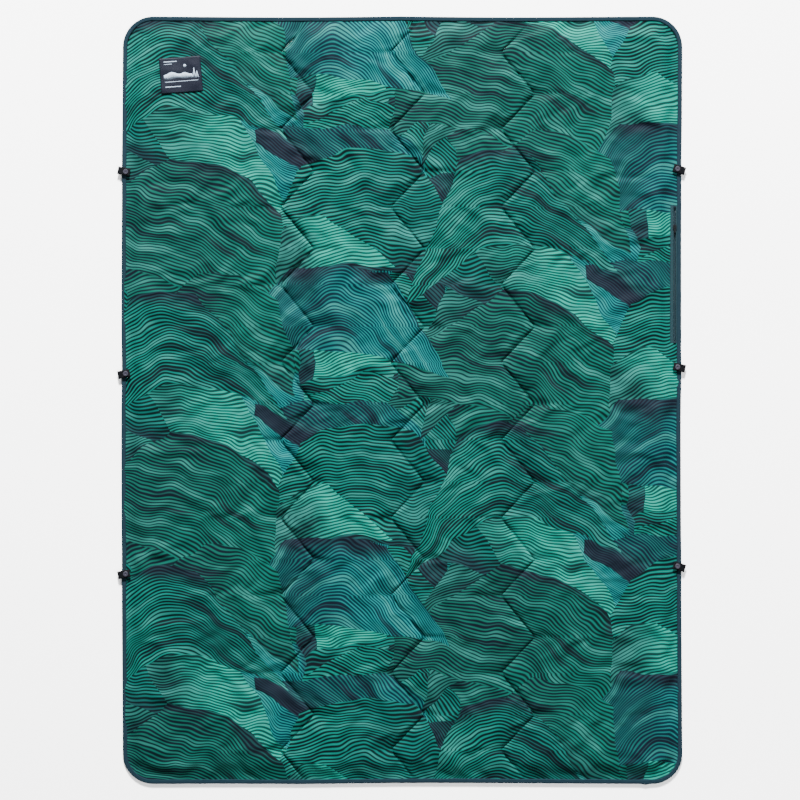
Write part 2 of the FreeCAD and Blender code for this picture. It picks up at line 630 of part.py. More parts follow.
def make_tabs():
    """All six tabs: ribbons, caps and sockets are nodes of their own, the rest are shared nodes."""
    own, studs, posts, tacks = [], [], [], []
    for name in TABS:
        ribbons = [make_root_ribbon(name), make_flap_ribbon(name)]
        cap, socket, stud, post, tack = make_snap(name)
        for body in (*ribbons, cap, socket, stud, post, tack):
            place_tab(body, name)
        own += [*ribbons, cap, socket]
        studs.append(stud)
        posts.append(post)
        tacks.append(tack)
    return own + [group("snap_studs", studs), group("snap_posts", posts), group("tab_bar_tacks", tacks)]


def write_nodes(nodes):
    """Checks every object and every node's solids, then writes one STEP file for each node."""
    doc.recompute()
    failed = [o.Label for o in doc.Objects if {"Invalid", "Error"} & set(o.State)]
    if failed:
        raise RuntimeError(f"objects that failed: {failed}")
    for node in nodes:
        if node.Shape.isNull() or not node.Shape.isValid() or not node.Shape.Solids:
            raise RuntimeError(f"{node.Label} has no valid solid")
    os.makedirs("parts", exist_ok=True)
    for node in nodes:
        node.Shape.exportStep(f"parts/{node.Label}.step")
        print(node.Label, len(node.Shape.Solids), round(node.Shape.Volume, 1))


write_nodes([
    make_insulation(),
    make_front_shell(),
    make_binding(),
    *make_quilting(),
    make_binding_stitching(),
    *make_label(),
    *make_zip_tapes(),
    make_slider(),
    make_pull(),
    *make_pocket(),
    *make_tabs(),
])
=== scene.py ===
"""A quilted camp blanket: printed front, plain back, bound edge, label, stow-pocket zip and snap tabs."""

import math

import bmesh
import bpy
import numpy as np
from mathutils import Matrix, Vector
from mathutils.bvhtree import BVHTree


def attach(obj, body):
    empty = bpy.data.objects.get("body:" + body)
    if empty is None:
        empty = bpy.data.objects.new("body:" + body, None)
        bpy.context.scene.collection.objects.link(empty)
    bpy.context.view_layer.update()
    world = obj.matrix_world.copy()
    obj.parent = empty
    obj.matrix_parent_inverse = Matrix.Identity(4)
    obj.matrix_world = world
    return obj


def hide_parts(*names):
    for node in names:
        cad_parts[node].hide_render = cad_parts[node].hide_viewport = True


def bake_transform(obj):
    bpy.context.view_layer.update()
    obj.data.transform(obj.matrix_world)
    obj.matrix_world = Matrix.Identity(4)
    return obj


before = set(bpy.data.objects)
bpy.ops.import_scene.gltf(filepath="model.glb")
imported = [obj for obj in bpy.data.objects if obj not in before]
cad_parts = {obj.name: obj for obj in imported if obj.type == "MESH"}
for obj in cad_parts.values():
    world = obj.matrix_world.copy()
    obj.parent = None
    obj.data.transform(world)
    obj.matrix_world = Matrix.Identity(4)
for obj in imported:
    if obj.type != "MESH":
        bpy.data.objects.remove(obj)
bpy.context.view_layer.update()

MM = 0.001

# The blanket's plan, in millimetres.
HALF_WIDTH = 685.0
HALF_LENGTH = 940.0
CORNER_RADIUS = 75.0
BINDING_WIDTH = 11.0
HEM_INSET = 4.0
LINE_COLUMNS = (-255.5, 14.5, 284.5)
LINE_SWING = 42.0
ZIGZAG_PERIOD = 190.0
ZIGZAG_FALL = 88.0
SLOT_SIDE = 658.0
SLOT_FOOT = 140.0
SLOT_HEAD = 477.0
TAB_SNAP_X = 675.0

# Heights above the floor, in millimetres.
EDGE_CLOTH = 4.25
SEAM_CLOTH = 5.0
LOFT_CLOTH = 14.2
CREASE_DEPTH = 1.9
BACK_CLOTH = 0.45

# side, place along the edge, turn of the outer end in degrees
TABS = {
    "L1": (-1, 559.0, 168.0),
    "L2": (-1, 65.0, 191.0),
    "L3": (-1, -425.0, 191.0),
    "R1": (1, 566.0, -18.0),
    "R2": (1, 81.0, -13.0),
    "R3": (1, -406.0, -18.0),
}


# ---------------------------------------------------------------- materials


def linear(code):
    """A web colour as linear red, green, blue and alpha."""
    parts = [int(code[i : i + 2], 16) / 255 for i in (0, 2, 4)]
    parts = [p / 12.92 if p <= 0.04045 else ((p + 0.055) / 1.055) ** 2.4 for p in parts]
    return (*parts, 1.0)


class Wiring:
    """Adds nodes to one tree and joins them."""

    def __init__(self, tree):
        self.tree = tree

    def put(self, socket, value):
        if isinstance(value, bpy.types.NodeSocket):
            self.tree.links.new(value, socket)
        elif value is not None:
            socket.default_value = value

    def add(self, kind, inputs=(), **settings):
        node = self.tree.nodes.new(kind)
        for key, value in settings.items():
            setattr(node, key, value)
        for key, value in dict(inputs).items():
            self.put(node.inputs[key], value)
        return node

    def math(self, operation, first, second=None, third=None, clamp=False):
        inputs = {0: first, 1: second, 2: third}
        return self.add("ShaderNodeMath", inputs, operation=operation, use_clamp=clamp).outputs[0]

    def mix(self, factor, first, second, blend="MIX"):
        node = self.add("ShaderNodeMix", data_type="RGBA", blend_type=blend)
        self.put(node.inputs[0], factor)
        self.put(node.inputs[6], first)
        self.put(node.inputs[7], second)
        return node.outputs[2]

    def ramp(self, value, low, high, to_low=0.0, to_high=1.0, smooth=True):
        inputs = {0: value, 1: low, 2: high, 3: to_low, 4: to_high}
        kind = "SMOOTHSTEP" if smooth else "LINEAR"
        return self.add("ShaderNodeMapRange", inputs, interpolation_type=kind).outputs[0]

    def cloud(self, place, size, detail=2.0, rough=0.5):
        """Smooth noise whose lumps are size across, from 0 to 1."""
        inputs = {"Vector": place, "Scale": 1.0 / size, "Detail": detail, "Roughness": rough}
        return self.add("ShaderNodeTexNoise", inputs).outputs["Fac"]

    def split(self, vector):
        node = self.add("ShaderNodeSeparateXYZ", {0: vector})
        return node.outputs[0], node.outputs[1], node.outputs[2]

    def join(self, x, y, z=0.0):
        return self.add("ShaderNodeCombineXYZ", {0: x, 1: y, 2: z}).outputs[0]

    def scaled(self, vector, scale):
        node = self.add("ShaderNodeVectorMath", operation="SCALE")
        self.put(node.inputs[0], vector)
        self.put(node.inputs["Scale"], scale)
        return node.outputs[0]


def new_material(name, roughness, metallic=0.0, sheen=0.0, specular=0.5, coat=0.0):
    """A node material and its wiring, with the even values set on the shader itself."""
    material = bpy.data.materials.new(name)
    material.use_nodes = True
    shader = material.node_tree.nodes["Principled BSDF"]
    shader.inputs["Roughness"].default_value = roughness
    shader.inputs["Metallic"].default_value = metallic
    shader.inputs["Sheen Weight"].default_value = sheen
    shader.inputs["Sheen Roughness"].default_value = 0.4
    shader.inputs["Specular IOR Level"].default_value = specular
    shader.inputs["Coat Weight"].default_value = coat
    return material, Wiring(material.node_tree), shader


def finish_surface(wiring, shader, colour, height, relief, strength=1.0):
    """Gives the shader its colour and a bump of that relief, in metres."""
    wiring.put(shader.inputs["Base Color"], colour)
    inputs = {"Height": height, "Distance": relief, "Strength": strength}
    bump = wiring.add("ShaderNodeBump", inputs)
    wiring.put(shader.inputs["Normal"], bump.outputs[0])


def object_place(wiring):
    """Object coordinates in millimetres."""
    return wiring.scaled(wiring.add("ShaderNodeTexCoord").outputs["Object"], 1000.0)


def cloth_place(wiring):
    """The cloth's own flat coordinates in millimetres."""
    return wiring.scaled(wiring.add("ShaderNodeUVMap", uv_map="cut").outputs[0], 1000.0)


def woven_height(wiring, place, pitch):
    """A plain weave of that pitch: threads over and under, from 0 to 1."""
    x, y, _ = wiring.split(place)
    turn = 2 * math.pi / pitch
    across = wiring.math("SINE", wiring.math("MULTIPLY", x, turn))
    along = wiring.math("SINE", wiring.math("MULTIPLY", y, turn))
    crossed = wiring.math("MULTIPLY", across, along)
    return wiring.math("MULTIPLY_ADD", crossed, 0.5, 0.5)


def ripstop_lines(wiring, place, pitch, width):
    """1 on the doubled threads of a ripstop grid, 0 between them."""
    x, y, _ = wiring.split(place)
    lines = []
    for value in (x, y):
        phase = wiring.math("FRACT", wiring.math("DIVIDE", value, pitch))
        centred = wiring.math("ABSOLUTE", wiring.math("SUBTRACT", phase, 0.5))
        lines.append(wiring.ramp(centred, width / pitch, 0.3 * width / pitch))
    return wiring.math("MAXIMUM", *lines)


def hill_group():
    """One hill of the print: a crest over a field of wavy lines, laid over what is behind it."""
    group = bpy.data.node_groups.new("printed_hill", "ShaderNodeTree")
    face = group.interface
    for name in ("behind", "light near", "light far", "dark near", "dark far"):
        face.new_socket(name, in_out="INPUT", socket_type="NodeSocketColor")
    for name in ("place", "apex"):
        face.new_socket(name, in_out="INPUT", socket_type="NodeSocketVector")
    for name in ("drift", *HILL_NUMBERS):
        face.new_socket(name, in_out="INPUT", socket_type="NodeSocketFloat")
    face.new_socket("colour", in_out="OUTPUT", socket_type="NodeSocketColor")
    w = Wiring(group)
    given = w.add("NodeGroupInput").outputs
    out = w.add("NodeGroupOutput")

    offset = w.add("ShaderNodeVectorMath", {0: given["place"], 1: given["apex"]}, operation="SUBTRACT")
    x, y, _ = w.split(offset.outputs[0])
    column = w.math("ROUND", w.math("DIVIDE", x, REPEAT_ACROSS))
    x = w.math("SUBTRACT", x, w.math("MULTIPLY", column, REPEAT_ACROSS))
    y = w.math("ADD", y, w.math("MULTIPLY", column, REPEAT_DROP))
    y_middle = w.math("ADD", y, w.math("MULTIPLY", given["depth"], 0.5))
    row = w.math("ROUND", w.math("DIVIDE", y_middle, REPEAT_ALONG))
    y = w.math("SUBTRACT", y, w.math("MULTIPLY", row, REPEAT_ALONG))
    turned = w.add("ShaderNodeVectorRotate", rotation_type="Z_AXIS")
    w.put(turned.inputs["Vector"], w.join(x, y))
    w.put(turned.inputs["Angle"], w.math("MULTIPLY", given["tilt"], -math.pi / 180))
    u, v, _ = w.split(turned.outputs[0])

    arc = w.math("SQRT", w.math("ADD", w.math("POWER", u, 2.0), w.math("POWER", given["round"], 2.0)))
    arc = w.math("SUBTRACT", arc, given["round"])
    crest = w.math("MULTIPLY", w.math("MULTIPLY", arc, given["slope"]), -1.0)
    crest = w.math("ADD", crest, w.math("MULTIPLY", u, given["skew"]))
    under = w.math("SUBTRACT", crest, v)
    inside = w.ramp(under, -0.6, 0.6)
    above_foot = w.ramp(w.math("SUBTRACT", given["depth"], under), -0.6, 0.6)
    reach = w.math("MULTIPLY_ADD", under, FLANK_SPREAD, given["reach"])
    within = w.ramp(w.math("SUBTRACT", reach, w.math("ABSOLUTE", u)), -0.6, 0.6)
    mask = w.math("MULTIPLY", w.math("MULTIPLY", inside, above_foot), within)

    along_lines = w.join(u, w.math("MULTIPLY", v, LINE_LIKENESS), given["reach"])
    wave = w.math("SUBTRACT", w.cloud(along_lines, WAVE_LENGTH, 1.6, 0.35), 0.5)
    wave = w.math("MULTIPLY", w.math("MULTIPLY", wave, WAVE_HEIGHT), given["waviness"])
    level = w.math("SUBTRACT", v, w.math("MULTIPLY", crest, given["follow"]))
    phase = w.math("FRACT", w.math("DIVIDE", w.math("ADD", level, wave), given["pitch"]))
    ridge = w.math("MULTIPLY", w.math("ABSOLUTE", w.math("SUBTRACT", phase, 0.5)), 2.0)
    streak_place = w.join(w.math("MULTIPLY", u, STREAK_LIKENESS), w.math("ADD", level, wave), given["reach"])
    streak = w.cloud(streak_place, STREAK_WIDTH, 1.0)
    swell = w.math("MULTIPLY", w.math("SUBTRACT", streak, 0.5), 0.9)
    edge = w.math("ADD", given["thin"], swell)
    line = w.ramp(ridge, w.math("SUBTRACT", edge, 0.30), w.math("ADD", edge, 0.30))

    share = w.math("MULTIPLY_ADD", w.math("DIVIDE", u, given["reach"]), 0.6, 0.5)
    share = w.math("ADD", share, given["drift"], clamp=True)
    light = w.mix(share, given["light near"], given["light far"])
    gleam = w.ramp(streak, 0.48, 0.32, 0.0, GLEAM_DEPTH)
    light = w.mix(gleam, light, linear(MINT))
    dark = w.mix(share, given["dark near"], given["dark far"])
    shaded_depth = w.math("ADD", under, w.math("MULTIPLY", given["drift"], SHADE_DRIFT))
    band = w.ramp(shaded_depth, given["shade start"], given["shade end"])
    band = w.math("MULTIPLY", band, given["shade"])
    streaks = w.math("MULTIPLY", w.ramp(streak, 0.58, 0.74), STREAK_DEPTH)
    band = w.math("MAXIMUM", band, streaks)
    plum = w.mix(line, linear(PLUM), linear(SLATE))
    colour = w.mix(band, w.mix(line, dark, light), plum)
    w.put(out.inputs[0], w.mix(mask, given["behind"], colour))
    return group


REPEAT_ACROSS = 807.0
REPEAT_DROP = 328.0
REPEAT_ALONG = 671.0
LINE_LIKENESS = 0.3
FLANK_SPREAD = 0.8
WAVE_LENGTH = 150.0
WAVE_HEIGHT = 90.0
STREAK_LIKENESS = 0.14
STREAK_WIDTH = 26.0
STREAK_DEPTH = 0.55
GLEAM_DEPTH = 0.42
SHADE_DRIFT = 50.0
INK_STRENGTH = (0.285, 0.295, 0.40, 1.0)
HILL_NUMBERS = (
    "tilt",
    "slope",
    "skew",
    "round",
    "reach",
    "depth",
    "pitch",
    "follow",
    "waviness",
    "thin",
    "shade",
    "shade start",
    "shade end",
)
PLUM = "0f0d16"
MINT = "3c8a70"
SLATE = "1a2028"
PRINT_ORIGIN = (-286.0, 819.0)
MEADOW = ("00765a", "006751", "001311", "001813")
PALE = ("1a5d49", "0c9a74", "001917", "04382b")
FOREST = ("0a5a42", "00654c", "06151a", "001e17")
LAGOON = ("0a7a64", "057a68", "01231f", "03292b")
TIDE = ("0c5a4a", "0a7a68", "0a1c24", "02292b")
DUSK = ("0d5342", "006a54", "09171d", "011a19")
# apex across and along from the origin; tilt, slope, skew, round, reach, depth, pitch,
# follow, waviness, thin, shade, its start and end; light and dark colours, near and far
HILLS = (
    ((200, -560), (0, 0.00, 0.00, 90, 900, 760, 8.2, 0.6, 1.2, 0.52, 0.0, 0, 30), MEADOW),
    ((-150, -300), (6, 0.25, 0.00, 90, 404, 340, 8.0, 0.6, 1.0, 0.48, 0.6, 40, 0), FOREST),
    ((330, -120), (-34, 0.35, 0.05, 50, 130, 300, 7.6, 0.7, 0.8, 0.52, 0.8, 150, 240), MEADOW),
    ((-150, 90), (30, 0.45, 0.10, 60, 120, 260, 7.2, 0.8, 0.9, 0.48, 0.0, 0, 30), PALE),
    ((-330, 40), (38, 0.45, 0.10, 60, 100, 300, 7.0, 0.5, 0.8, 0.52, 0.8, 190, 280), DUSK),
    ((-215, 10), (-52, 0.30, 0.00, 60, 90, 150, 5.8, 0.5, 0.6, 0.55, 0.9, 60, 150), DUSK),
    ((-10, 10), (-30, 0.90, 0.10, 14, 120, 300, 5.4, 0.10, 0.9, 0.48, 0.6, 26, 0), LAGOON),
    ((-235, -96), (0, 0.75, 0.00, 160, 120, 290, 8.0, 0.35, 1.4, 0.50, 0.0, 0, 30), PALE),
    ((330, -215), (-58, 0.50, 0.00, 40, 100, 230, 6.8, 0.7, 0.7, 0.52, 0.9, 120, 200), TIDE),
    ((178, -204), (2, 0.55, 0.05, 130, 140, 290, 8.6, 0.35, 1.4, 0.54, 0.8, 230, 290), MEADOW),
    ((-352, -335), (14, 0.70, 0.00, 60, 80, 130, 7.6, 0.6, 0.9, 0.46, 0.0, 0, 30), PALE),
    ((-130, -262), (-24, 0.42, -0.06, 110, 150, 300, 8.2, 0.5, 1.2, 0.52, 0.7, 26, 0), FOREST),
    ((40, -372), (24, 0.55, 0.00, 50, 60, 130, 7.8, 0.5, 0.8, 0.48, 0.0, 0, 30), PALE),
    ((130, -486), (-4, 0.22, 0.02, 120, 120, 215, 9.0, 8.0, 0.7, 0.54, 0.9, 50, 0), TIDE),
    ((-100, -520), (-22, 0.35, 0.02, 90, 100, 170, 8.0, 0.6, 0.9, 0.48, 0.6, 120, 200), FOREST),
    ((-300, -548), (8, 0.62, 0.00, 90, 80, 230, 8.2, 1.6, 1.0, 0.54, 0.9, 45, 0), MEADOW),
)


def print_material():
    """The front cloth: layered hills printed on a fine ripstop weave."""
    material, w, shader = new_material("printed_ripstop", 0.7, specular=0.03)
    place = cloth_place(w)
    warp = w.add("ShaderNodeTexNoise", {"Vector": place, "Scale": 1 / 110.0, "Detail": 1.0})
    halves = {0: warp.outputs["Color"], 1: (0.5, 0.5, 0.5)}
    centred = w.add("ShaderNodeVectorMath", halves, operation="SUBTRACT")
    moved = w.add(
        "ShaderNodeVectorMath", {0: w.scaled(centred.outputs[0], 44.0), 1: place}, operation="ADD"
    ).outputs[0]
    drift = w.math("MULTIPLY", w.math("SUBTRACT", w.cloud(place, 130.0, 1.0), 0.5), 1.8)
    group = hill_group()
    colour = linear(MEADOW[2])
    for apex, numbers, colours in HILLS:
        node = w.add("ShaderNodeGroup")
        node.node_tree = group
        w.put(node.inputs["behind"], colour)
        w.put(node.inputs["place"], moved)
        w.put(node.inputs["drift"], drift)
        w.put(node.inputs["apex"], (PRINT_ORIGIN[0] + apex[0], PRINT_ORIGIN[1] + apex[1], 0.0))
        for name, value in zip(HILL_NUMBERS, numbers):
            w.put(node.inputs[name], value)
        for name, value in zip(("light near", "light far", "dark near", "dark far"), colours):
            w.put(node.inputs[name], linear(value))
        colour = node.outputs[0]
    colour = w.mix(1.0, colour, INK_STRENGTH, "MULTIPLY")
    grid = ripstop_lines(w, place, 5.0, 0.5)
    weave = woven_height(w, place, 0.9)
    height = w.math("ADD", w.math("MULTIPLY", weave, 0.5), grid)
    finish_surface(w, shader, colour, height, 0.00004, 0.4)
    return material


def plain_ripstop_material():
    """The unprinted cloth of the back and the pocket."""
    material, w, shader = new_material("plain_ripstop", 0.65, specular=0.06)
    place = cloth_place(w)
    grid = ripstop_lines(w, place, 5.0, 0.6)
    tone = w.cloud(place, 160.0, 3.0)
    colour = w.mix(tone, linear("0d1b21"), linear("132329"))
    # the raised ripstop grid lines are mixed lighter: a painted highlight on the doubled threads
    colour = w.mix(w.math("MULTIPLY", grid, 0.25), colour, linear("1c2d33"))
    weave = woven_height(w, place, 0.9)
    height = w.math("ADD", w.math("MULTIPLY", weave, 0.5), grid)
    finish_surface(w, shader, colour, height, 0.00008, 0.7)
    return material


def tape_material(name, low, high, pitch, relief=0.00025, roughness=0.75):
    """A ribbed tape: ribs lie across its length, which its flat map's first axis follows."""
    material, w, shader = new_material(name, roughness, specular=0.03)
    place = cloth_place(w)
    x, y, _ = w.split(place)
    ribs = w.math("SINE", w.math("MULTIPLY", x, 2 * math.pi / pitch))
    ribs = w.math("MULTIPLY_ADD", ribs, 0.5, 0.5)
    threads = w.math("SINE", w.math("MULTIPLY", y, 2 * math.pi / (0.6 * pitch)))
    height = w.math("MULTIPLY_ADD", threads, 0.2, ribs)
    tone = w.cloud(place, 18.0, 3.0)
    # the colour follows the ribs, lighter on their crests and darker between them: painted shade of the rib
    # relief, over random tone
    shade = w.math("MULTIPLY_ADD", ribs, 0.35, w.math("MULTIPLY", tone, 0.6))
    finish_surface(w, shader, w.mix(shade, linear(low), linear(high)), height, relief)
    return material


def knit_tape_material():
    """The zip's tape: fine herringbone over its own face."""
    material, w, shader = new_material("zip_tape", 0.8, specular=0.03)
    x, y, _ = w.split(object_place(w))
    fold = w.math("PINGPONG", x, 1.2)
    phase = w.math("MULTIPLY", w.math("ADD", y, fold), 2 * math.pi / 0.9)
    rows = w.math("MULTIPLY_ADD", w.math("SINE", phase), 0.5, 0.5)
    # the colour follows the rows' relief, lighter on their crests and darker in their hollows: painted shade
    finish_surface(w, shader, w.mix(rows, linear("0d1b1f"), linear("142428")), rows, 0.00012)
    return material


def thread_material(name, low, high):
    """Twisted sewing thread."""
    material, w, shader = new_material(name, 0.7, specular=0.03)
    x, y, z = w.split(object_place(w))
    twist = w.math("SINE", w.math("MULTIPLY", w.math("ADD", w.math("ADD", x, y), z), 9.0))
    height = w.math("MULTIPLY_ADD", twist, 0.5, 0.5)
    # the colour follows the twist's relief, lighter on its crests and darker in its grooves: painted shade
    finish_surface(w, shader, w.mix(height, linear(low), linear(high)), height, 0.00008)
    return material


def label_material(name, low, high):
    """Satin-woven label: fine diagonal rows."""
    material, w, shader = new_material(name, 0.6, specular=0.06)
    x, y, _ = w.split(object_place(w))
    phase = w.math("MULTIPLY", w.math("ADD", w.math("MULTIPLY", x, 0.5), y), 2 * math.pi / 0.7)
    rows = w.math("MULTIPLY_ADD", w.math("SINE", phase), 0.5, 0.5)
    # the colour follows the satin rows' relief, lighter on their crests and darker between them: painted
    # shade
    finish_surface(w, shader, w.mix(rows, linear(low), linear(high)), rows, 0.00006)
    return material


def moulded_material(name, low, high, roughness, metallic=0.0, coat=0.0, grain=0.00004):
    """Moulded plastic or painted metal: faint mottling, rubbed lighter in places."""
    material, w, shader = new_material(name, roughness, metallic=metallic, specular=0.15, coat=coat)
    place = object_place(w)
    speckle = w.cloud(place, 0.5, 3.0)
    rubbed = w.ramp(w.cloud(place, 4.0, 3.0, 0.6), 0.5, 0.75)
    finish_surface(w, shader, w.mix(rubbed, linear(low), linear(high)), speckle, grain)
    return material


def fill_material():
    """The pale lofted fill inside the blanket."""
    material, w, shader = new_material("fill", 0.95, sheen=0.3, specular=0.1)
    place = object_place(w)
    fibres = w.cloud(place, 3.0, 6.0, 0.7)
    finish_surface(w, shader, w.mix(fibres, linear("aab5ae"), linear("e1eee2")), fibres, 0.0006)
    return material


MATERIALS = {
    "printed_ripstop": print_material(),
    "plain_ripstop": plain_ripstop_material(),
    "fill": fill_material(),
    "binding_tape": tape_material("binding_tape", "07131a", "0e1d24", 1.5),
    "ribbon": tape_material("ribbon", "030405", "090a0d", 1.3),
    "dark_thread": thread_material("dark_thread", "021516", "06201f"),
    "pale_thread": thread_material("pale_thread", "343b45", "454d58"),
    "label_weave": label_material("label_weave", "05070f", "080b15"),
    "snap_plastic": moulded_material("snap_plastic", "1b1a22", "26252d", 0.45),
    "zip_tape": knit_tape_material(),
    "zip_coil": moulded_material("zip_coil", "081116", "101b1f", 0.35),
    "slider_metal": moulded_material("slider_metal", "08090b", "141619", 0.4, metallic=0.3),
}
MOTIF_THREAD = label_material("label_motif_thread", "58626e", "768392")


# ---------------------------------------------------------------- the quilt's form


def zigzag(y):
    """How far the quilting lines stand to the right of their column at y."""
    fall = (HALF_LENGTH - y) % ZIGZAG_PERIOD
    rise = ZIGZAG_PERIOD - ZIGZAG_FALL
    going_left = LINE_SWING - 2 * LINE_SWING * fall / ZIGZAG_FALL
    going_right = -LINE_SWING + 2 * LINE_SWING * (fall - ZIGZAG_FALL) / rise
    return np.where(fall < ZIGZAG_FALL, going_left, going_right)


def smooth(value, low, high):
    """An eased step from 0 at low to 1 at high."""
    share = np.clip((value - low) / (high - low), 0, 1)
    return share * share * (3 - 2 * share)


def lumps(x, y, size, seed):
    """Smooth noise from -1 to 1 with lumps of that size."""
    table = np.random.default_rng(seed).uniform(-1, 1, (128, 128))
    u, v = np.asarray(x) / size + 60.0, np.asarray(y) / size + 60.0
    i, j = np.floor(u).astype(int), np.floor(v).astype(int)
    s, t = smooth(u - i, 0, 1), smooth(v - j, 0, 1)
    low = table[i % 128, j % 128] * (1 - s) + table[(i + 1) % 128, j % 128] * s
    high = table[i % 128, (j + 1) % 128] * (1 - s) + table[(i + 1) % 128, (j + 1) % 128] * s
    return low * (1 - t) + high * t


def inset_from_edge(x, y):
    """How far inside the rounded outline a point is."""
    a = np.abs(x) - (HALF_WIDTH - CORNER_RADIUS)
    b = np.abs(y) - (HALF_LENGTH - CORNER_RADIUS)
    outside = np.hypot(np.maximum(a, 0), np.maximum(b, 0))
    return CORNER_RADIUS - (outside + np.minimum(np.maximum(a, b), 0))


def line_distance(x, y):
    """How far a point is from the nearest quilting line, and how far along that line it lies."""
    best = np.full(np.shape(x), 1e9)
    along = np.zeros(np.shape(x))
    turns = []
    top = HALF_LENGTH + ZIGZAG_PERIOD
    while top > -HALF_LENGTH - ZIGZAG_PERIOD:
        turns += [(LINE_SWING, top), (-LINE_SWING, top - ZIGZAG_FALL)]
        top -= ZIGZAG_PERIOD
    run = 0.0
    for (xa, ya), (xb, yb) in zip(turns, turns[1:]):
        dx, dy = xb - xa, yb - ya
        length = math.hypot(dx, dy)
        for column in LINE_COLUMNS:
            share = ((x - xa - column) * dx + (y - ya) * dy) / length**2
            share = np.clip(share, 0, 1)
            distance = np.hypot(x - xa - column - share * dx, y - ya - share * dy)
            nearer = distance < best
            along = np.where(nearer, run + share * length + column, along)
            best = np.where(nearer, distance, best)
        run += length
    return best, along


def column_weight(c):
    """How far a grid column follows the quilting lines' zigzag."""
    return 1 - smooth(np.abs(c - LINE_COLUMNS[1]), 310, 600)


def fitted(stops, pitch):
    """Numbers through all the stops, about pitch apart."""
    found = [stops[0]]
    for start, end in zip(stops, stops[1:]):
        count = max(1, round((end - start) / pitch))
        found += list(np.linspace(start, end, count + 1)[1:])
    return np.array(found)


def quilt_rows(pitch, inset=HEM_INSET):
    """Places of the grid's rows: through every turn of the quilting lines."""
    turns = []
    for i in range(11):
        turns += [HALF_LENGTH - i * ZIGZAG_PERIOD, HALF_LENGTH - i * ZIGZAG_PERIOD - ZIGZAG_FALL]
    inner = [t for t in turns if abs(t) < HALF_LENGTH - 30]
    end = HALF_LENGTH - inset
    return fitted(sorted([-end, *inner, end]), pitch)


def quilt_columns(pitch, near=(7.0, 18.0, 32.0), inset=HEM_INSET):
    """Places of the grid's columns: on every quilting line, closer together beside it."""
    end = HALF_WIDTH - inset
    stops = [-end, SLOT_SIDE, end]
    for column in LINE_COLUMNS:
        stops += [column, *[column + n for n in near], *[column - n for n in near]]
    return fitted(sorted(stops), pitch)


def quilt_plan(columns, rows):
    """The grid's points on the flat blanket, as arrays of rows by columns."""
    c, y = np.meshgrid(columns, rows)
    x = c + zigzag(y) * column_weight(c)
    beside_zip = smooth(c, 590, 640)
    for edge in (SLOT_FOOT, SLOT_HEAD):
        nearest = rows[np.argmin(np.abs(rows - edge))]
        y = y + (edge - nearest) * beside_zip * np.maximum(0, 1 - np.abs(y - nearest) / 40.0)
    end_x, end_y = np.abs(columns).max(), np.abs(rows).max()
    radius = CORNER_RADIUS - (HALF_WIDTH - end_x)
    a = np.maximum(0, np.abs(x) - (end_x - radius))
    b = np.maximum(0, np.abs(y) - (end_y - radius))
    spread = np.hypot(a, b)
    pull = np.where(spread > 0, np.maximum(a, b) / np.maximum(spread, 1e-9), 1.0)
    x = np.sign(x) * (np.abs(x) - a + a * pull)
    y = np.sign(y) * (np.abs(y) - b + b * pull)
    return x, y


def edge_bow(x, y):
    """How the blanket lies a little off its true outline: shift across and along."""
    near_tab = np.zeros(np.shape(x))
    for _, place, _ in TABS.values():
        near_tab = np.maximum(near_tab, np.exp(-(((y - place) / 60.0) ** 2)))
    free = 1 - near_tab
    outer_x = smooth(np.abs(x), 420, HALF_WIDTH) * np.sign(x)
    outer_y = smooth(np.abs(y), 640, HALF_LENGTH) * np.sign(y)
    bow_x = np.where(x < 0, 4.0 * np.cos(y / 560.0) - 2.5, -2.5 * np.cos(y / 400.0) + 1.0)
    bow_y = np.where(y > 0, -4.0 * np.abs(np.sin(x / 300.0)), 3.0 - 6.0 * smooth(x, -600, 100))
    return outer_x * bow_x * free, -outer_y * np.abs(bow_y) * np.cos(x / 500.0) ** 2


def quiet_places(x, y):
    """1 where the cloth has to lie flat, under the tabs and beside the zip."""
    quiet = smooth(x, 625, 645) * smooth(y, SLOT_FOOT - 45, SLOT_FOOT - 15)
    quiet = quiet * smooth(-y, -SLOT_HEAD - 45, -SLOT_HEAD - 15)
    for side, place, _ in TABS.values():
        across = smooth(side * x, 630, 655)
        quiet = np.maximum(quiet, across * np.exp(-(((y - place) / 22.0) ** 4)))
    return quiet


def loft(x, y):
    """Height of the stuffed front cloth before it wrinkles."""
    distance, _ = line_distance(x, y)
    inset = inset_from_edge(x, y)
    rise = smooth(inset, 12, 58) * (1 - 0.96 * quiet_places(x, y))
    top = LOFT_CLOTH + 1.3 * lumps(x, y, 110, 3) + 0.7 * lumps(x, y, 45, 4)
    swollen = SEAM_CLOTH + (top - SEAM_CLOTH) * (1 - np.exp(-distance / 17.0))
    return EDGE_CLOTH + rise * (swollen - EDGE_CLOTH)


def grid_faces(rows, columns, skip=None):
    """Faces of a grid, counter-clockwise from above, leaving out those that skip marks."""
    i, j = np.meshgrid(np.arange(rows - 1), np.arange(columns - 1), indexing="ij")
    faces = np.stack(
        [i * columns + j, i * columns + j + 1, (i + 1) * columns + j + 1, (i + 1) * columns + j], -1
    )
    if skip is None:
        return faces.reshape(-1, 4)
    return faces[~skip]


def mesh_object(name, points, faces, flat=None):
    """An object made of points in millimetres, with its flat map in metres."""
    mesh = bpy.data.meshes.new(name)
    face_list = np.asarray(faces).tolist() if len(faces) else []
    mesh.from_pydata((np.asarray(points) * MM).tolist(), [], face_list)
    if flat is not None:
        layer = mesh.uv_layers.new(name="cut")
        corner = np.zeros(len(mesh.loops), int)
        mesh.loops.foreach_get("vertex_index", corner)
        layer.data.foreach_set("uv", (np.asarray(flat)[corner] * MM).astype(np.float32).ravel())
    mesh.update()
    obj = bpy.data.objects.new(name, mesh)
    bpy.context.scene.collection.objects.link(obj)
    return obj


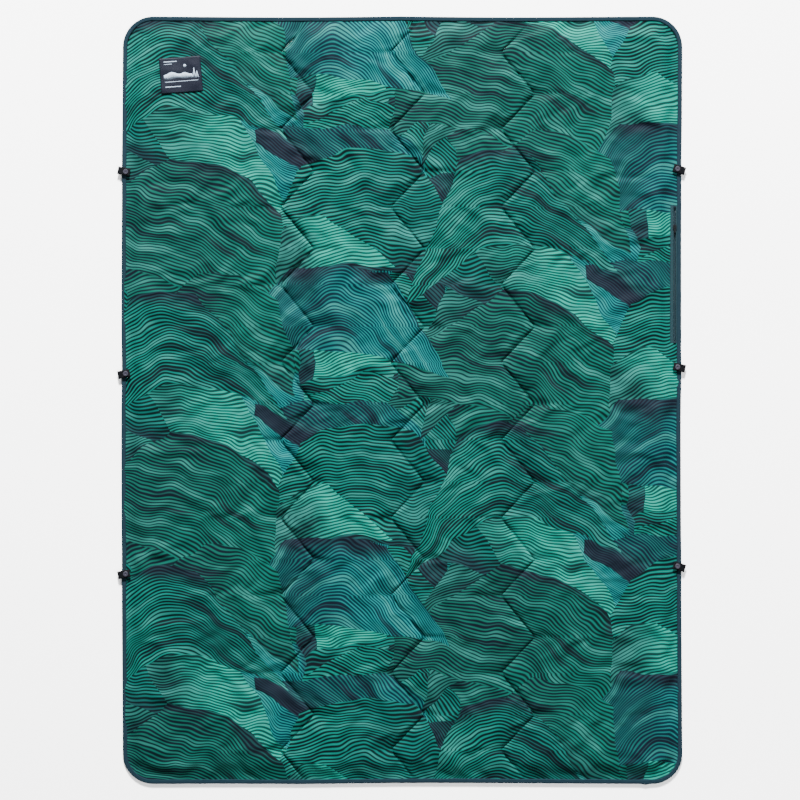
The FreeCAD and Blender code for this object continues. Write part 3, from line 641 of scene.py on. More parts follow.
def points_of(obj):
    """A mesh object's points, in millimetres."""
    found = np.zeros(len(obj.data.vertices) * 3, np.float32)
    obj.data.vertices.foreach_get("co", found)
    return found.reshape(-1, 3).astype(float) / MM


def set_points(obj, points):
    """Moves a mesh object's points, given in millimetres."""
    obj.data.vertices.foreach_set("co", (points * MM).astype(np.float32).ravel())
    obj.data.update()


def evaluated_mesh(obj, name=None):
    """The object's mesh with its modifiers in it."""
    graph = bpy.context.evaluated_depsgraph_get()
    mesh = bpy.data.meshes.new_from_object(obj.evaluated_get(graph), depsgraph=graph)
    mesh.name = name or obj.name
    return mesh


def bake_modifiers(obj):
    """Turns the object's modifiers into a plain mesh."""
    mesh = evaluated_mesh(obj)
    obj.modifiers.clear()
    obj.data = mesh
    return obj


def dress(obj, slot, body="blanket", smooth_shade=True, material=None):
    """Material (taken by its slot name unless one is given), shading and body of a new piece."""
    obj.data.materials.clear()
    obj.data.materials.append(material or MATERIALS[slot])
    obj.data.shade_smooth() if smooth_shade else obj.data.shade_flat()
    if body:
        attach(obj, body)
    return obj


WRINKLE_FRAMES = 22
SPARE_CLOTH = -0.035


def wrinkle(obj, held):
    """Lets the spare cloth buckle over the fill: each point is tied to its place, firmly where sewn."""
    group = obj.vertex_groups.new(name="held")
    for index, weight in enumerate(held):
        group.add([index], float(weight), "REPLACE")
    cloth = obj.modifiers.new("cloth", "CLOTH")
    settings = cloth.settings
    settings.quality = 5
    settings.mass = 0.05
    settings.air_damping = 2.0
    settings.tension_stiffness = 20
    settings.compression_stiffness = 20
    settings.shear_stiffness = 6
    settings.bending_stiffness = 0.3
    settings.vertex_group_mass = "held"
    settings.pin_stiffness = 1.0
    settings.shrink_min = SPARE_CLOTH
    settings.effector_weights.gravity = 0.0
    cloth.collision_settings.use_collision = False
    cloth.point_cache.frame_start = 1
    cloth.point_cache.frame_end = WRINKLE_FRAMES
    scene = bpy.context.scene
    for step in range(1, WRINKLE_FRAMES + 1):
        scene.frame_set(step)
    mesh = evaluated_mesh(obj)
    moved = np.zeros(len(mesh.vertices) * 3, np.float32)
    mesh.vertices.foreach_get("co", moved)
    obj.modifiers.clear()
    bpy.data.meshes.remove(mesh)
    scene.frame_set(1)
    return moved.reshape(-1, 3).astype(float) / MM


SHELL_ROWS = quilt_rows(9.2)
SHELL_COLUMNS = quilt_columns(15.0)


def make_front_cloth():
    """The printed front: sewn down along its quilting lines, loose and wrinkled between them."""
    x, y = quilt_plan(SHELL_COLUMNS, SHELL_ROWS)
    middle_x = (x[1:, 1:] + x[:-1, :-1]) / 2
    middle_y = (y[1:, 1:] + y[:-1, :-1]) / 2
    skip = (middle_x > SLOT_SIDE) & (middle_y > SLOT_FOOT) & (middle_y < SLOT_HEAD)
    faces = grid_faces(*x.shape, skip)
    start = np.stack([x, y, loft(x, y)], -1).reshape(-1, 3)
    used, inverse = np.unique(faces, return_inverse=True)
    faces, start = inverse.reshape(-1, 4), start[used]
    cloth = mesh_object("front_cloth", start, faces, start[:, :2])

    sewn_columns = [np.argmin(np.abs(SHELL_COLUMNS - column)) for column in LINE_COLUMNS]
    on_line = np.isin(np.arange(x.size) % x.shape[1], sewn_columns)
    on_line = on_line[used]
    inset = inset_from_edge(start[:, 0], start[:, 1])
    quiet = quiet_places(start[:, 0], start[:, 1])
    firm = on_line | (inset < 14) | (quiet > 0.6)
    foundation = 0.22 + 0.2 * smooth(quiet, 0.05, 0.6)
    moved = wrinkle(cloth, np.where(firm, 1.0, foundation))
    shift = moved - start
    limit = np.array([4.0, 4.0, 4.5])
    shift = limit * np.tanh(shift / limit)
    shift = shift * (1 - 0.9 * quiet[:, None])
    start = start + shift
    set_points(cloth, start)

    crease = cloth.data.attributes.new("crease_edge", "FLOAT", "EDGE")
    ends = np.zeros(len(cloth.data.edges) * 2, int)
    cloth.data.edges.foreach_get("vertices", ends)
    ends = ends.reshape(-1, 2)
    crease.data.foreach_set("value", (on_line[ends[:, 0]] & on_line[ends[:, 1]]).astype(np.float32))
    finer = cloth.modifiers.new("finer", "SUBSURF")
    finer.levels = 1
    finer.render_levels = 1
    finer.uv_smooth = "NONE"
    bake_modifiers(cloth)
    points = points_of(cloth)
    distance, along = line_distance(points[:, 0], points[:, 1])
    inset = inset_from_edge(points[:, 0], points[:, 1])
    free = smooth(inset, 14, 40) * (1 - quiet_places(points[:, 0], points[:, 1]))
    gather = np.cos(along * 2 * math.pi / 21.0 + 2.2 * lumps(along, distance * 0.3, 30, 11))
    reach = 13.0 + 6.0 * lumps(along, 0 * along, 26, 12)
    depth = 0.95 + 0.75 * lumps(along, 0 * along, 47, 13)
    pucker = depth * gather * np.exp(-distance / reach) * smooth(distance, 0.5, 5)
    points[:, 2] += free * pucker
    points[:, 2] -= free * CREASE_DEPTH * (distance < 0.9)
    bow_x, bow_y = edge_bow(points[:, 0], points[:, 1])
    points[:, 0] += bow_x
    points[:, 1] += bow_y
    set_points(cloth, points)
    dress(cloth, "printed_ripstop")
    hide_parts("front_shell")
    return cloth


def height_lookup(cloth):
    """A function that gives the cloth's height at points on the plan."""
    tree = BVHTree.FromObject(cloth, bpy.context.evaluated_depsgraph_get())
    down = Vector((0, 0, -1))

    def height(x, y, otherwise=EDGE_CLOTH):
        x, y = np.broadcast_arrays(x, y)
        found = np.full(x.size, otherwise, float)
        for index, (px, py) in enumerate(zip(x.ravel(), y.ravel())):
            hit = tree.ray_cast(Vector((px * MM, py * MM, 0.1)), down)[0]
            if hit is not None:
                found[index] = hit.z / MM
        return found.reshape(x.shape)

    return height


def lowest_near(height, x, y, reach):
    """The lowest height within reach of each point."""
    found = height(x, y)
    for turn in range(8):
        dx, dy = reach * math.cos(turn * math.pi / 4), reach * math.sin(turn * math.pi / 4)
        found = np.minimum(found, height(x + dx, y + dy))
    return found


def bowed(x, y):
    """Places on the plan after the edge has bowed."""
    bow_x, bow_y = edge_bow(x, y)
    return x + bow_x, y + bow_y


def over_zip(x, y):
    """True over the trench that the slider's lower plate runs in."""
    return (x > 654) & (y > SLOT_FOOT - 12) & (y < SLOT_HEAD + 12)


def over_pocket(x, y):
    """Whether a place lies over the stow pocket."""
    return (x > POCKET_SIDE - 12) & (y > SLOT_FOOT - 12) & (y < SLOT_HEAD + 12)


def make_back_cloth():
    """The plain back: flat on the floor, drawn up a little along the quilting lines."""
    columns = quilt_columns(17.0, near=(3.5, 9.0, 17.0))
    x, y = quilt_plan(columns, quilt_rows(9.2))
    distance, along = line_distance(x, y)
    inset = inset_from_edge(x, y)
    free = smooth(inset, 16, 40)
    gather = np.cos(along * 2 * math.pi / 25.0 + 2.0 * lumps(along, 0 * along, 34, 21))
    gather = gather * (0.6 + 0.4 * lumps(along, 0 * along, 51, 22)) * np.exp(-distance / 11)
    z = BACK_CLOTH + free * (1.4 * np.exp(-distance / 8.0) + 0.45 * gather * smooth(distance, 0, 4))
    z = z + free * 0.5 * np.maximum(0, lumps(x + 0.6 * y, y, 38, 23)) * (1 - np.exp(-distance / 18))
    z = np.maximum(z, 0.15) + 0.45 * (1 - smooth(inset, 12, 18))
    flat = np.stack([x, y], -1).reshape(-1, 2)
    x, y = bowed(x, y)
    points = np.stack([x, y, z], -1).reshape(-1, 3)
    faces = grid_faces(*x.shape)[:, ::-1]
    cloth = mesh_object("back_cloth", points, faces, flat)
    dress(cloth, "plain_ripstop")
    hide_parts("back_shell")
    return cloth


def make_fill(height):
    """The lofted fill between the cloths, thin where the quilting lines hold them together."""
    x, y = quilt_plan(quilt_columns(20.0, near=(9.0,), inset=14.0), quilt_rows(16.0, inset=14.0))
    top = lowest_near(height, x, y, 10.0) - 1.5
    top = np.where(over_pocket(x, y), top - 1.6, top)
    top = np.where(over_zip(x, y), np.minimum(top, 1.9), top)
    distance, _ = line_distance(x, y)
    foot = 1.1 + 1.0 * np.exp(-distance / 8.0)
    top = np.maximum(top, foot + 0.3)
    bow_x, bow_y = bowed(x, y)
    over = np.stack([bow_x, bow_y, top], -1).reshape(-1, 3)
    under = np.stack([bow_x, bow_y, foot], -1).reshape(-1, 3)
    rows, columns = x.shape
    upper = grid_faces(rows, columns)
    lower = grid_faces(rows, columns)[:, ::-1] + rows * columns
    ring = [j for j in range(columns)]
    ring += [i * columns + columns - 1 for i in range(1, rows)]
    ring += [(rows - 1) * columns + j for j in range(columns - 2, -1, -1)]
    ring += [i * columns for i in range(rows - 2, 0, -1)]
    ring = np.array(ring)
    following = np.roll(ring, -1)
    sides = np.stack([ring, ring + rows * columns, following + rows * columns, following], -1)
    fill = mesh_object("loose_fill", np.concatenate([over, under]), np.concatenate([upper, lower, sides]))
    dress(fill, "fill")
    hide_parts("insulation")
    return fill


POCKET_SIDE = 428.0


def make_pocket_panel(name, node, height, far_side, depth, foot):
    """One panel of the stow pocket, a little under the front cloth."""
    columns = fitted([POCKET_SIDE, 640.0, far_side], 8.0)
    rows = fitted([SLOT_FOOT, SLOT_HEAD], 8.0)
    x, y = np.meshgrid(columns, rows)
    flat = np.stack([x, y], -1).reshape(-1, 2)
    z = np.maximum(lowest_near(height, x, y, 5.0) - depth, foot)
    z = np.where(x > 654, foot, z)
    panel = mesh_object(name, np.stack([x, y, z], -1).reshape(-1, 3), grid_faces(*x.shape), flat)
    gauge = panel.modifiers.new("gauge", "SOLIDIFY")
    gauge.thickness = 0.3 * MM
    gauge.offset = -1.0
    bake_modifiers(panel)
    dress(panel, "plain_ripstop")
    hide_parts(node)
    return panel


# the binding's section: inset from the outline and height, round the outside and back inside
BINDING_SECTION = (
    (11.0, 4.95),
    (8.0, 5.02),
    (5.0, 5.08),
    (2.2, 5.1),
    (0.9, 4.85),
    (0.2, 4.2),
    (0.0, 3.0),
    (0.0, 1.9),
    (0.3, 0.8),
    (1.1, 0.2),
    (2.4, 0.02),
    (11.0, 0.0),
    (11.0, 0.5),
    (2.4, 0.5),
    (0.6, 1.1),
    (0.6, 4.1),
    (2.2, 4.55),
    (8.0, 4.55),
    (11.0, 4.5),
)
JOIN_X = 595.0


def outline_path(pitch):
    """Points on the rounded outline, anticlockwise from above, with their inward direction and run."""
    points, inward = [], []
    middle_x, middle_y = HALF_WIDTH - CORNER_RADIUS, HALF_LENGTH - CORNER_RADIUS
    quarter = max(4, round(CORNER_RADIUS * math.pi / 2 / pitch))
    for turn, (sx, sy) in enumerate(((1, -1), (1, 1), (-1, 1), (-1, -1))):
        start = -math.pi / 2 + turn * math.pi / 2
        for step in range(quarter + 1):
            angle = start + step / quarter * math.pi / 2
            away = np.array([math.cos(angle), math.sin(angle)])
            points.append(np.array([sx * middle_x, sy * middle_y]) + CORNER_RADIUS * away)
            inward.append(-away)
        nx, ny = ((1, 1), (-1, 1), (-1, -1), (1, -1))[turn]
        ending = np.array([nx * middle_x, ny * middle_y]) + CORNER_RADIUS * away
        count = round(np.linalg.norm(ending - points[-1]) / pitch)
        for step in range(1, count):
            points.append(points[-1] + (ending - points[-1]) / (count - step + 1))
            inward.append(-away)
    points, inward = np.array(points), np.array(inward)
    steps = np.linalg.norm(np.roll(points, -1, axis=0) - points, axis=1)
    run = np.concatenate([[0], np.cumsum(steps)[:-1]])
    return points, inward, run


def make_binding():
    """The tape folded round the blanket's edge, gathered a little round the corners."""
    points, inward, run = outline_path(5.0)
    section = np.array(BINDING_SECTION)
    count, around = len(points), len(section)
    ease = 0.5 * lumps(run, 0 * run, 31, 31) + 0.35 * lumps(run, 0 * run, 12, 32)
    beside_zip = (points[:, 0] > 0) & (points[:, 1] > SLOT_FOOT - 15) & (points[:, 1] < SLOT_HEAD + 15)
    ease = np.where(beside_zip, -0.35, ease)
    lift = 0.22 * lumps(run, 0 * run, 9, 33)
    corner = smooth(np.abs(inward).min(1), 0.05, 0.4)
    lift = lift + corner * 0.28 * np.cos(run * 2 * math.pi / 9.5)
    join = np.exp(-(((points[:, 0] - JOIN_X) / 7.0) ** 2)) * (points[:, 1] < -HALF_LENGTH + 5)
    share = section[:, 0] / BINDING_WIDTH
    inset = section[None, :, 0] + (ease + 1.2 * join)[:, None] * share**2 - 2.2 * join[:, None] * (1 - share)
    plan = points[:, None, :] + inward[:, None, :] * inset[..., None]
    front = section[:, 1] > 3.5
    z = section[None, :, 1] + np.where(front, 1.0, 0.0) * (lift[:, None] * share + 0.3 * join[:, None])
    x, y = bowed(plan[..., 0], plan[..., 1])
    loop = np.stack([x, y, np.maximum(z, 0)], -1).reshape(-1, 3)
    width = np.concatenate([[0], np.cumsum(np.linalg.norm(np.diff(section, axis=0), axis=1))])
    i, j = np.meshgrid(np.arange(count), np.arange(around), indexing="ij")
    after_i, after_j = (i + 1) % count, (j + 1) % around
    quads = [i * around + j, after_i * around + j, after_i * around + after_j, i * around + after_j]
    faces = np.stack(quads, -1).reshape(-1, 4)
    flat = np.stack(np.broadcast_arrays(run[:, None], width[None, :]), -1).reshape(-1, 2)
    binding = mesh_object("binding_strip", loop, faces, flat)
    dress(binding, "binding_tape")
    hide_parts("edge_binding")
    return binding


# ---------------------------------------------------------------- stitches and coil turns


def merged_lines(name, lines):
    """Several chains of edges in one mesh object."""
    points, edges = [], []
    for line in lines:
        start = len(points)
        points += (np.asarray(line) * MM).tolist()
        edges += [(start + i, start + i + 1) for i in range(len(line) - 1)]
    mesh = bpy.data.meshes.new(name)
    mesh.from_pydata(points, edges, [])
    obj = bpy.data.objects.new(name, mesh)
    bpy.context.scene.collection.objects.link(obj)
    return obj


def repeat_tree(name, unit, material):
    """Repeats one small unit along chains of edges: unit is a stitch or a coil turn."""
    tree = bpy.data.node_groups.new(name, "GeometryNodeTree")
    face = tree.interface
    face.new_socket("path", in_out="INPUT", socket_type="NodeSocketGeometry")
    for label in ("pitch", "length", "width", "height"):
        face.new_socket(label, in_out="INPUT", socket_type="NodeSocketFloat")
    face.new_socket("made", in_out="OUTPUT", socket_type="NodeSocketGeometry")
    w = Wiring(tree)
    given = w.add("NodeGroupInput").outputs
    out = w.add("NodeGroupOutput")
    curve = w.add("GeometryNodeMeshToCurve", {0: given["path"]}).outputs[0]
    spaced = w.add("GeometryNodeResampleCurve", {"Curve": curve, "Length": given["pitch"]}, mode="LENGTH")
    if unit == "stitch":
        body = w.add("GeometryNodeMeshUVSphere", {"Segments": 6, "Rings": 4, "Radius": 0.5}).outputs["Mesh"]
    else:
        ring = w.add("GeometryNodeCurvePrimitiveCircle", {"Resolution": 10, "Radius": 0.38}).outputs[0]
        wire = w.add("GeometryNodeCurvePrimitiveCircle", {"Resolution": 4, "Radius": 0.12}).outputs[0]
        swept = w.add("GeometryNodeCurveToMesh", {"Curve": ring, "Profile Curve": wire}).outputs[0]
        upright = {"Geometry": swept, "Rotation": (0.0, math.pi / 2, 0.0)}
        body = w.add("GeometryNodeTransform", upright).outputs[0]
    size = w.join(given["length"], given["width"], given["height"])
    shaped = w.add("GeometryNodeTransform", {"Geometry": body, "Scale": size}).outputs[0]
    tangent = w.add("GeometryNodeInputTangent").outputs[0]
    turned = w.add("FunctionNodeAlignRotationToVector", {"Vector": tangent}, axis="X")
    uneven = w.add("FunctionNodeRandomValue", {"Min": 0.93, "Max": 1.05, "Seed": 5}, data_type="FLOAT")
    even_inputs = {"Points": spaced.outputs[0], "Instance": shaped, "Rotation": turned.outputs[0]}
    placed = w.add("GeometryNodeInstanceOnPoints", even_inputs)
    w.put(placed.inputs["Scale"], uneven.outputs[1])
    real = w.add("GeometryNodeRealizeInstances", {0: placed.outputs[0]}).outputs[0]
    finished = w.add("GeometryNodeSetMaterial", {"Geometry": real, "Material": material}).outputs[0]
    w.put(out.inputs[0], finished)
    return tree


def repeat_along(obj, tree, pitch, length, width, height):
    """Runs the tree along the object's edges and keeps the result as a plain mesh."""
    modifier = obj.modifiers.new("repeat", "NODES")
    modifier.node_group = tree
    sizes = {"pitch": pitch, "length": length, "width": width, "height": height}
    for item in tree.interface.items_tree:
        if item.in_out == "INPUT" and item.name in sizes:
            modifier[item.identifier] = sizes[item.name] * MM
    bake_modifiers(obj)
    return obj


def sew(name, lines, thread, pitch, length, width=0.55, height=0.45, replaces=()):
    """A row of stitches along each line, in one piece."""
    obj = merged_lines(name, lines)
    tree = repeat_tree(f"{name}_stitches", "stitch", MATERIALS[thread])
    repeat_along(obj, tree, pitch, length, width, height)
    dress(obj, thread)
    if replaces:
        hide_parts(*replaces)
    return obj


def quilting_paths(height, lift, clearance=13.0):
    """The three zigzag quilting lines, from binding to binding, on a cloth."""
    lines = []
    ys = np.arange(HALF_LENGTH - clearance, -HALF_LENGTH + clearance, -4.0)
    for column in LINE_COLUMNS:
        x, y = bowed(column + zigzag(ys), ys)
        lines.append(np.stack([x, y, height(x, y) + lift], -1))
    return lines


def inset_loop(inset, z):
    """A closed line at that inset from the outline."""
    points, inward, _ = outline_path(5.0)
    plan = points + inward * inset
    x, y = bowed(plan[:, 0], plan[:, 1])
    loop = np.stack([x, y, np.full(len(x), z)], -1)
    return np.concatenate([loop, loop[:1]])


# ---------------------------------------------------------------- label

LABEL_WIDTH, LABEL_HEIGHT = 103.0, 87.0
LABEL_CENTRE = (-540.0, 795.0)
LABEL_TILT = 4.6
MOON_ACROSS, MOON_UP, MOON_RADIUS = 11.0, 22.0, 4.0


def label_point(across, up):
    """A place on the label, from its own middle, on the blanket's plan."""
    turn = math.radians(LABEL_TILT)
    x = LABEL_CENTRE[0] + across * math.cos(turn) - up * math.sin(turn)
    y = LABEL_CENTRE[1] + across * math.sin(turn) + up * math.cos(turn)
    return bowed(x, y)


def label_height(height):
    """The label's own gently curved top face over the cloth, as a function."""
    across = np.linspace(-LABEL_WIDTH / 2 - 6, LABEL_WIDTH / 2 + 6, 31)
    up = np.linspace(-LABEL_HEIGHT / 2 - 6, LABEL_HEIGHT / 2 + 6, 27)
    a, b = np.meshgrid(across, up)
    under = height(*label_point(a, b))
    level = under.copy()
    for _ in range(12):
        padded = np.pad(level, 1, mode="edge")
        level = (padded[2:, 1:-1] + padded[:-2, 1:-1] + padded[1:-1, 2:] + padded[1:-1, :-2]) / 4
        level = np.maximum(level, under)

    def top(across_at, up_at):
        i = (np.asarray(across_at) - across[0]) / (across[1] - across[0])
        j = (np.asarray(up_at) - up[0]) / (up[1] - up[0])
        i0 = np.clip(np.floor(i).astype(int), 0, len(across) - 2)
        j0 = np.clip(np.floor(j).astype(int), 0, len(up) - 2)
        s, t = i - i0, j - j0
        low = level[j0, i0] * (1 - s) + level[j0, i0 + 1] * s
        high = level[j0 + 1, i0] * (1 - s) + level[j0 + 1, i0 + 1] * s
        return low * (1 - t) + high * t + 0.75

    return top


def make_label(height):
    """The woven label, with a plain motif of hills, firs and a moon."""
    top = label_height(height)
    a, b = np.meshgrid(
        np.linspace(-LABEL_WIDTH / 2, LABEL_WIDTH / 2, 36),
        np.linspace(-LABEL_HEIGHT / 2, LABEL_HEIGHT / 2, 30),
    )
    x, y = label_point(a, b)
    edge = np.minimum(LABEL_WIDTH / 2 - np.abs(a), LABEL_HEIGHT / 2 - np.abs(b))
    z = top(a, b) - 0.35 * np.exp(-edge / 1.2)
    label = mesh_object("woven_label", np.stack([x, y, z], -1).reshape(-1, 3), grid_faces(*x.shape))
    gauge = label.modifiers.new("gauge", "SOLIDIFY")
    gauge.thickness = 0.4 * MM
    gauge.offset = -1.0
    bake_modifiers(label)
    dress(label, "label_weave")
    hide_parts("label")

    points, faces = [], []
    for left, right, foot, head in label_motif():
        across = np.linspace(left, right, max(2, int((right - left) / 1.2) + 1))
        low, high = foot(across), head(across)
        for level in range(3):
            share = level / 2
            up = low * (1 - share) + high * share
            px, py = label_point(across, up)
            points += np.stack([px, py, top(across, up) + 0.12], -1).tolist()
        start = len(points) - 3 * len(across)
        faces += (grid_faces(3, len(across)) + start).tolist()
    motif = mesh_object("label_motif", points, faces)
    gauge = motif.modifiers.new("gauge", "SOLIDIFY")
    gauge.thickness = 0.14 * MM
    gauge.offset = -1.0
    bake_modifiers(motif)
    dress(motif, "pale_thread", material=MOTIF_THREAD)

    corners = [(-49, -41), (49, -41), (49, 41), (-49, 41), (-49, -41)]
    line = []
    for (xa, ya), (xb, yb) in zip(corners, corners[1:]):
        for share in np.arange(0, 1, 2.0 / max(abs(xb - xa), abs(yb - ya))):
            across, up = xa + share * (xb - xa), ya + share * (yb - ya)
            px, py = label_point(across, up)
            line.append((float(px), float(py), float(top(across, up)) + 0.1))
    line.append(line[0])
    sew("label_seam", [line], "dark_thread", 2.6, 2.1, replaces=["label_stitching"])
    return label


def label_motif():
    """Left, right, foot line and head line of each pale part."""

    def level(value):
        return lambda a: np.full(len(a), float(value))

    def hills(a):
        return 1.5 + 7 * np.exp(-(((a + 22) / 13) ** 2)) + 4.5 * np.exp(-(((a - 9) / 9) ** 2))

    def shore(a):
        return -7.5 - 1.2 * np.sin(a / 6.5)

    def fir(middle, foot, tall, wide):
        def edge(a):
            return foot + tall * (1 - np.abs(a - middle) / wide)

        return (middle - wide, middle + wide, level(foot), edge)

    def moon_half(a):
        return np.sqrt(np.maximum(0, MOON_RADIUS**2 - (a - MOON_ACROSS) ** 2))

    parts = [
        (-42.0, 27.0, shore, hills),
        (-40.0, 42.0, level(-16.0), level(-14.6)),
        (-40.0, -2.0, level(-29.0), level(-26.6)),
        (-40.0, -8.0, level(33.0), level(35.4)),
        (-40.0, -20.0, level(27.6), level(28.8)),
        (
            MOON_ACROSS - MOON_RADIUS,
            MOON_ACROSS + MOON_RADIUS,
            lambda a: MOON_UP - moon_half(a),
            lambda a: MOON_UP + moon_half(a),
        ),
        fir(33.0, -8.5, 25.0, 5.0),
        fir(40.0, -8.5, 17.0, 3.8),
        fir(27.0, -8.5, 13.0, 3.2),
    ]
    return parts


# ---------------------------------------------------------------- snap tabs

RIBBON_WIDTH = 19.0
FOLD_REACH = 19.5
FOLD_LEVEL = 6.65
RIBBON_HALF_GAUGE = 0.25


def tab_frame(key):
    """The tab's snap centre, its outward direction and the direction across it."""
    side, place, turn = TABS[key]
    angle = math.radians(turn)
    outward = np.array([math.cos(angle), math.sin(angle)])
    across = np.array([-math.sin(angle), math.cos(angle)])
    return np.array([side * TAB_SNAP_X, place]), outward, across


def ribbon_line():
    """The ribbon's middle from its sewn end round the fold to its loose end: outward run and height."""
    line = [(-10.0, 4.75), (-8.6, 4.75), (-7.3, 4.8), (-6.5, 5.55), (-5.6, 6.3), (-4.6, 6.35)]
    line += [(u, 6.35) for u in np.arange(-2.0, FOLD_REACH, 2.4)]
    for angle in np.radians(np.linspace(-90, 90, 7)):
        line.append((FOLD_REACH + 0.3 * math.cos(angle), FOLD_LEVEL + 0.3 * math.sin(angle)))
    line += [(16.5, 7.1), (14.0, 7.45), (11.5, 8.05), (9.0, 8.75), (7.4, 9.15), (6.25, 9.25)]
    line += [(u, 9.25) for u in np.arange(4.0, -4.1, -2.0)]
    line += [(-6.25, 9.2), (-8.0, 8.95), (-9.4, 8.65), (-10.5, 8.45)]
    return np.array(line)


def make_ribbon(key):
    """One tab's folded ribbon: its root is sewn to the blanket and its flap turns over at the fold."""
    centre, outward, across = tab_frame(key)
    line = ribbon_line()
    ahead = np.gradient(line, axis=0)
    ahead = ahead / np.linalg.norm(ahead, axis=1)[:, None]
    left = np.stack([-ahead[:, 1], ahead[:, 0]], -1)
    places = np.linspace(-RIBBON_WIDTH / 2, RIBBON_WIDTH / 2, 9)
    curl = 0.10 * (np.abs(places) / (RIBBON_WIDTH / 2)) ** 4
    run = np.concatenate([[0], np.cumsum(np.linalg.norm(np.diff(line, axis=0), axis=1))])
    layers, flats = [], []
    for side in (1, -1):
        for index in range(len(line)):
            offset = line[index] + left[index] * RIBBON_HALF_GAUGE * side
            plan = centre + outward * offset[0] + across * places[:, None]
            at_fold = abs(line[index][0] - FOLD_REACH) < 0.5
            level = offset[1] - curl * (0.0 if at_fold else 0.5 if index < 14 else 1.0)
            layers.append(np.column_stack([plan, np.broadcast_to(level, places.shape)]))
            flats.append(np.column_stack([np.full(len(places), run[index]), places]))
    count, wide = len(line), len(places)
    upper = grid_faces(count, wide)
    lower = grid_faces(count, wide)[:, ::-1] + count * wide
    ring = list(range(wide)) + [i * wide + wide - 1 for i in range(1, count)]
    ring += [(count - 1) * wide + j for j in range(wide - 2, -1, -1)]
    ring += [i * wide for i in range(count - 2, 0, -1)]
    ring = np.array(ring)
    following = np.roll(ring, -1)
    sides = np.stack([ring, ring + count * wide, following + count * wide, following], -1)
    faces = np.concatenate([upper, lower, sides])
    ribbon = mesh_object(f"ribbon_{key}", np.concatenate(layers), faces, np.concatenate(flats))
    outward_faces(ribbon)
    dress(ribbon, "ribbon", body=None)
    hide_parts(f"tab_root_{key}", f"tab_flap_{key}")
    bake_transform(ribbon)
    return ribbon


def outward_faces(obj):
    """Turns a closed mesh's faces outwards."""
    work = bmesh.new()
    work.from_mesh(obj.data)
    bmesh.ops.recalc_face_normals(work, faces=work.faces)
    work.to_mesh(obj.data)
    work.free()


def bar_tack_paths():
    """The zigzag tack across each tab's sewn end."""
    lines = []
    for key in TABS:
        centre, outward, across = tab_frame(key)
        line = []
        for step, place in enumerate(np.arange(-7.5, 7.6, 0.62)):
            plan = centre + outward * (-9.2 if step % 2 else -8.0) + across * place
            line.append((*plan, 5.12))
        lines.append(line)
    return lines


# ---------------------------------------------------------------- camera, floor and light

CAMERA_HEIGHT = 5.444
VIEW_CENTRE = (-0.0039, 0.0005)
camera_data = bpy.data.cameras.new("camera")
camera_data.lens = 100.0
camera_data.sensor_width = 36.0
camera = bpy.data.objects.new("camera", camera_data)
camera.location = (*VIEW_CENTRE, CAMERA_HEIGHT)
bpy.context.scene.collection.objects.link(camera)
bpy.context.scene.camera = camera

world = bpy.data.worlds.new("studio")
world.use_nodes = True
world.node_tree.nodes["Background"].inputs["Color"].default_value = (0.93, 0.97, 1.0, 1.0)
world.node_tree.nodes["Background"].inputs["Strength"].default_value = 0.5
bpy.context.scene.world = world


def softbox(name, place, size, power, target=(0.0, 0.0, 0.0)):
    """A rectangular area light turned towards the target."""
    data = bpy.data.lights.new(name, "AREA")
    data.shape = "RECTANGLE"
    data.size, data.size_y = size
    data.energy = power
    light = bpy.data.objects.new(name, data)
    light.location = place
    light.rotation_mode = "QUATERNION"
    light.rotation_quaternion = (Vector(target) - Vector(place)).to_track_quat("-Z", "Y")
    bpy.context.scene.collection.objects.link(light)


softbox("key_softbox", (-0.4, 9.8, 4.7), (1.6, 1.6), 15500.0)
softbox("fill_softbox", (4.5, -3.0, 6.5), (4.0, 4.0), 900.0)

floor_material, floor_wiring, floor_shader = new_material("floor", 0.9, specular=0.1)
floor_tone = floor_wiring.cloud(object_place(floor_wiring), 400.0)
floor_wiring.put(
    floor_shader.inputs["Base Color"],
    floor_wiring.mix(floor_tone, (0.90, 0.90, 0.90, 1), (0.93, 0.93, 0.93, 1)),
)
floor = mesh_object(
    "floor",
    [(-9000, -9000, -0.3), (9000, -9000, -0.3), (9000, 9000, -0.3), (-9000, 9000, -0.3)],
    [(0, 1, 2, 3)],
)
floor.data.materials.append(floor_material)


# ---------------------------------------------------------------- the pieces

front_cloth = make_front_cloth()
front_height = height_lookup(front_cloth)
back_cloth = make_back_cloth()
fill = make_fill(front_height)
make_pocket_panel("pocket_front_cloth", "pocket_front_panel", front_height, 660.0, 0.7, 3.1)
make_pocket_panel("pocket_back_cloth", "pocket_back_panel", front_height, 684.0, 1.4, 2.35)
make_binding()

front_lines = quilting_paths(front_height, 0.15)
sew("quilting_front", front_lines, "dark_thread", 3.6, 3.0, 0.8, 0.6, ["quilt_stitching_front"])
sew("binding_seam", [inset_loop(9.1, 5.05)], "dark_thread", 3.0, 2.5, 0.55, 0.45, ["binding_stitching"])
back_height = height_lookup(back_cloth)
back_lines = quilting_paths(back_height, -0.1)
sew("quilting_back", back_lines, "dark_thread", 3.6, 3.0, 0.7, 0.5, ["quilt_stitching_back"])

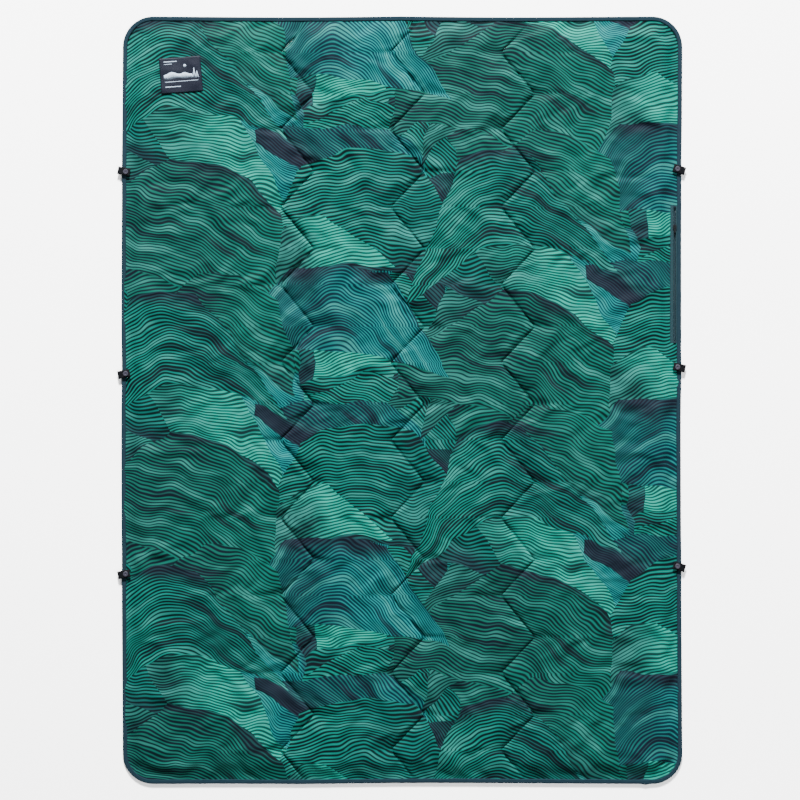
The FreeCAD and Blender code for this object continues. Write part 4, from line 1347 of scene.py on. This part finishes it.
pocket_line = [(684.0, SLOT_FOOT + 1.0), (POCKET_SIDE + 1.0, SLOT_FOOT + 1.0)]
pocket_line += [(POCKET_SIDE + 1.0, SLOT_HEAD - 1.0), (684.0, SLOT_HEAD - 1.0)]
pocket_run = []
for (xa, ya), (xb, yb) in zip(pocket_line, pocket_line[1:]):
    for share in np.linspace(0, 1, 40, endpoint=False):
        pocket_run.append((xa + share * (xb - xa), ya + share * (yb - ya)))
pocket_run = np.array(pocket_run)
pocket_run = pocket_run[pocket_run[:, 0] < 655]
pocket_z = lowest_near(front_height, pocket_run[:, 0], pocket_run[:, 1], 5.0) - 0.95
pocket_seam = np.column_stack([pocket_run, pocket_z])
sew("pocket_seam", [pocket_seam], "dark_thread", 3.0, 2.5, 0.4, 0.3, ["pocket_stitching"])

ZIP_SEAM_COLUMNS = (659.5, 663.1)
TAPE_TOP = 4.58
COIL_COLUMNS = (666.4, 670.6)
COIL_FOOT, COIL_HEAD, COIL_MIDDLE = 145.5, 471.5, 5.3

zip_lines = []
for seam_x in ZIP_SEAM_COLUMNS:
    ys = np.arange(SLOT_FOOT + 2, SLOT_HEAD - 1, 3.0)
    zip_lines.append(np.column_stack([np.full(len(ys), seam_x), ys, np.full(len(ys), TAPE_TOP)]))
sew("zip_seam", zip_lines, "dark_thread", 2.6, 2.1, 0.45, 0.35, ["zipper_stitching"])

coil_tree = repeat_tree("coil_turns", "turn", MATERIALS["zip_coil"])
for coil_name, coil_node, coil_x in (
    ("coil_inner", "zipper_coil_inner", COIL_COLUMNS[0]),
    ("coil_outer", "zipper_coil_outer", COIL_COLUMNS[1]),
):
    run = [(coil_x, COIL_FOOT, COIL_MIDDLE), (coil_x, COIL_HEAD, COIL_MIDDLE)]
    coil = merged_lines(coil_name, [run])
    repeat_along(coil, coil_tree, 1.4, 2.6, 2.2, 1.55)
    dress(coil, "zip_coil")
    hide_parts(coil_node)

make_label(front_height)
for tab in TABS:
    make_ribbon(tab)
sew("bar_tacks", bar_tack_paths(), "dark_thread", 0.62, 1.15, 0.4, 0.35, ["tab_bar_tacks"])

NODE_FINISH = {
    "zipper_tape_inner": "zip_tape",
    "zipper_tape_outer": "zip_tape",
    "zipper_top_stop": "zip_coil",
    "zipper_bottom_stop": "zip_coil",
    "zipper_slider": "slider_metal",
    "zipper_pull": "slider_metal",
    "snap_studs": "snap_plastic",
    "snap_posts": "snap_plastic",
}
for tab in TABS:
    NODE_FINISH[f"snap_cap_{tab}"] = "snap_plastic"
    NODE_FINISH[f"snap_socket_{tab}"] = "snap_plastic"
for node_name, finish in NODE_FINISH.items():
    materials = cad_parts[node_name].data.materials
    materials.clear()
    materials.append(MATERIALS[finish])
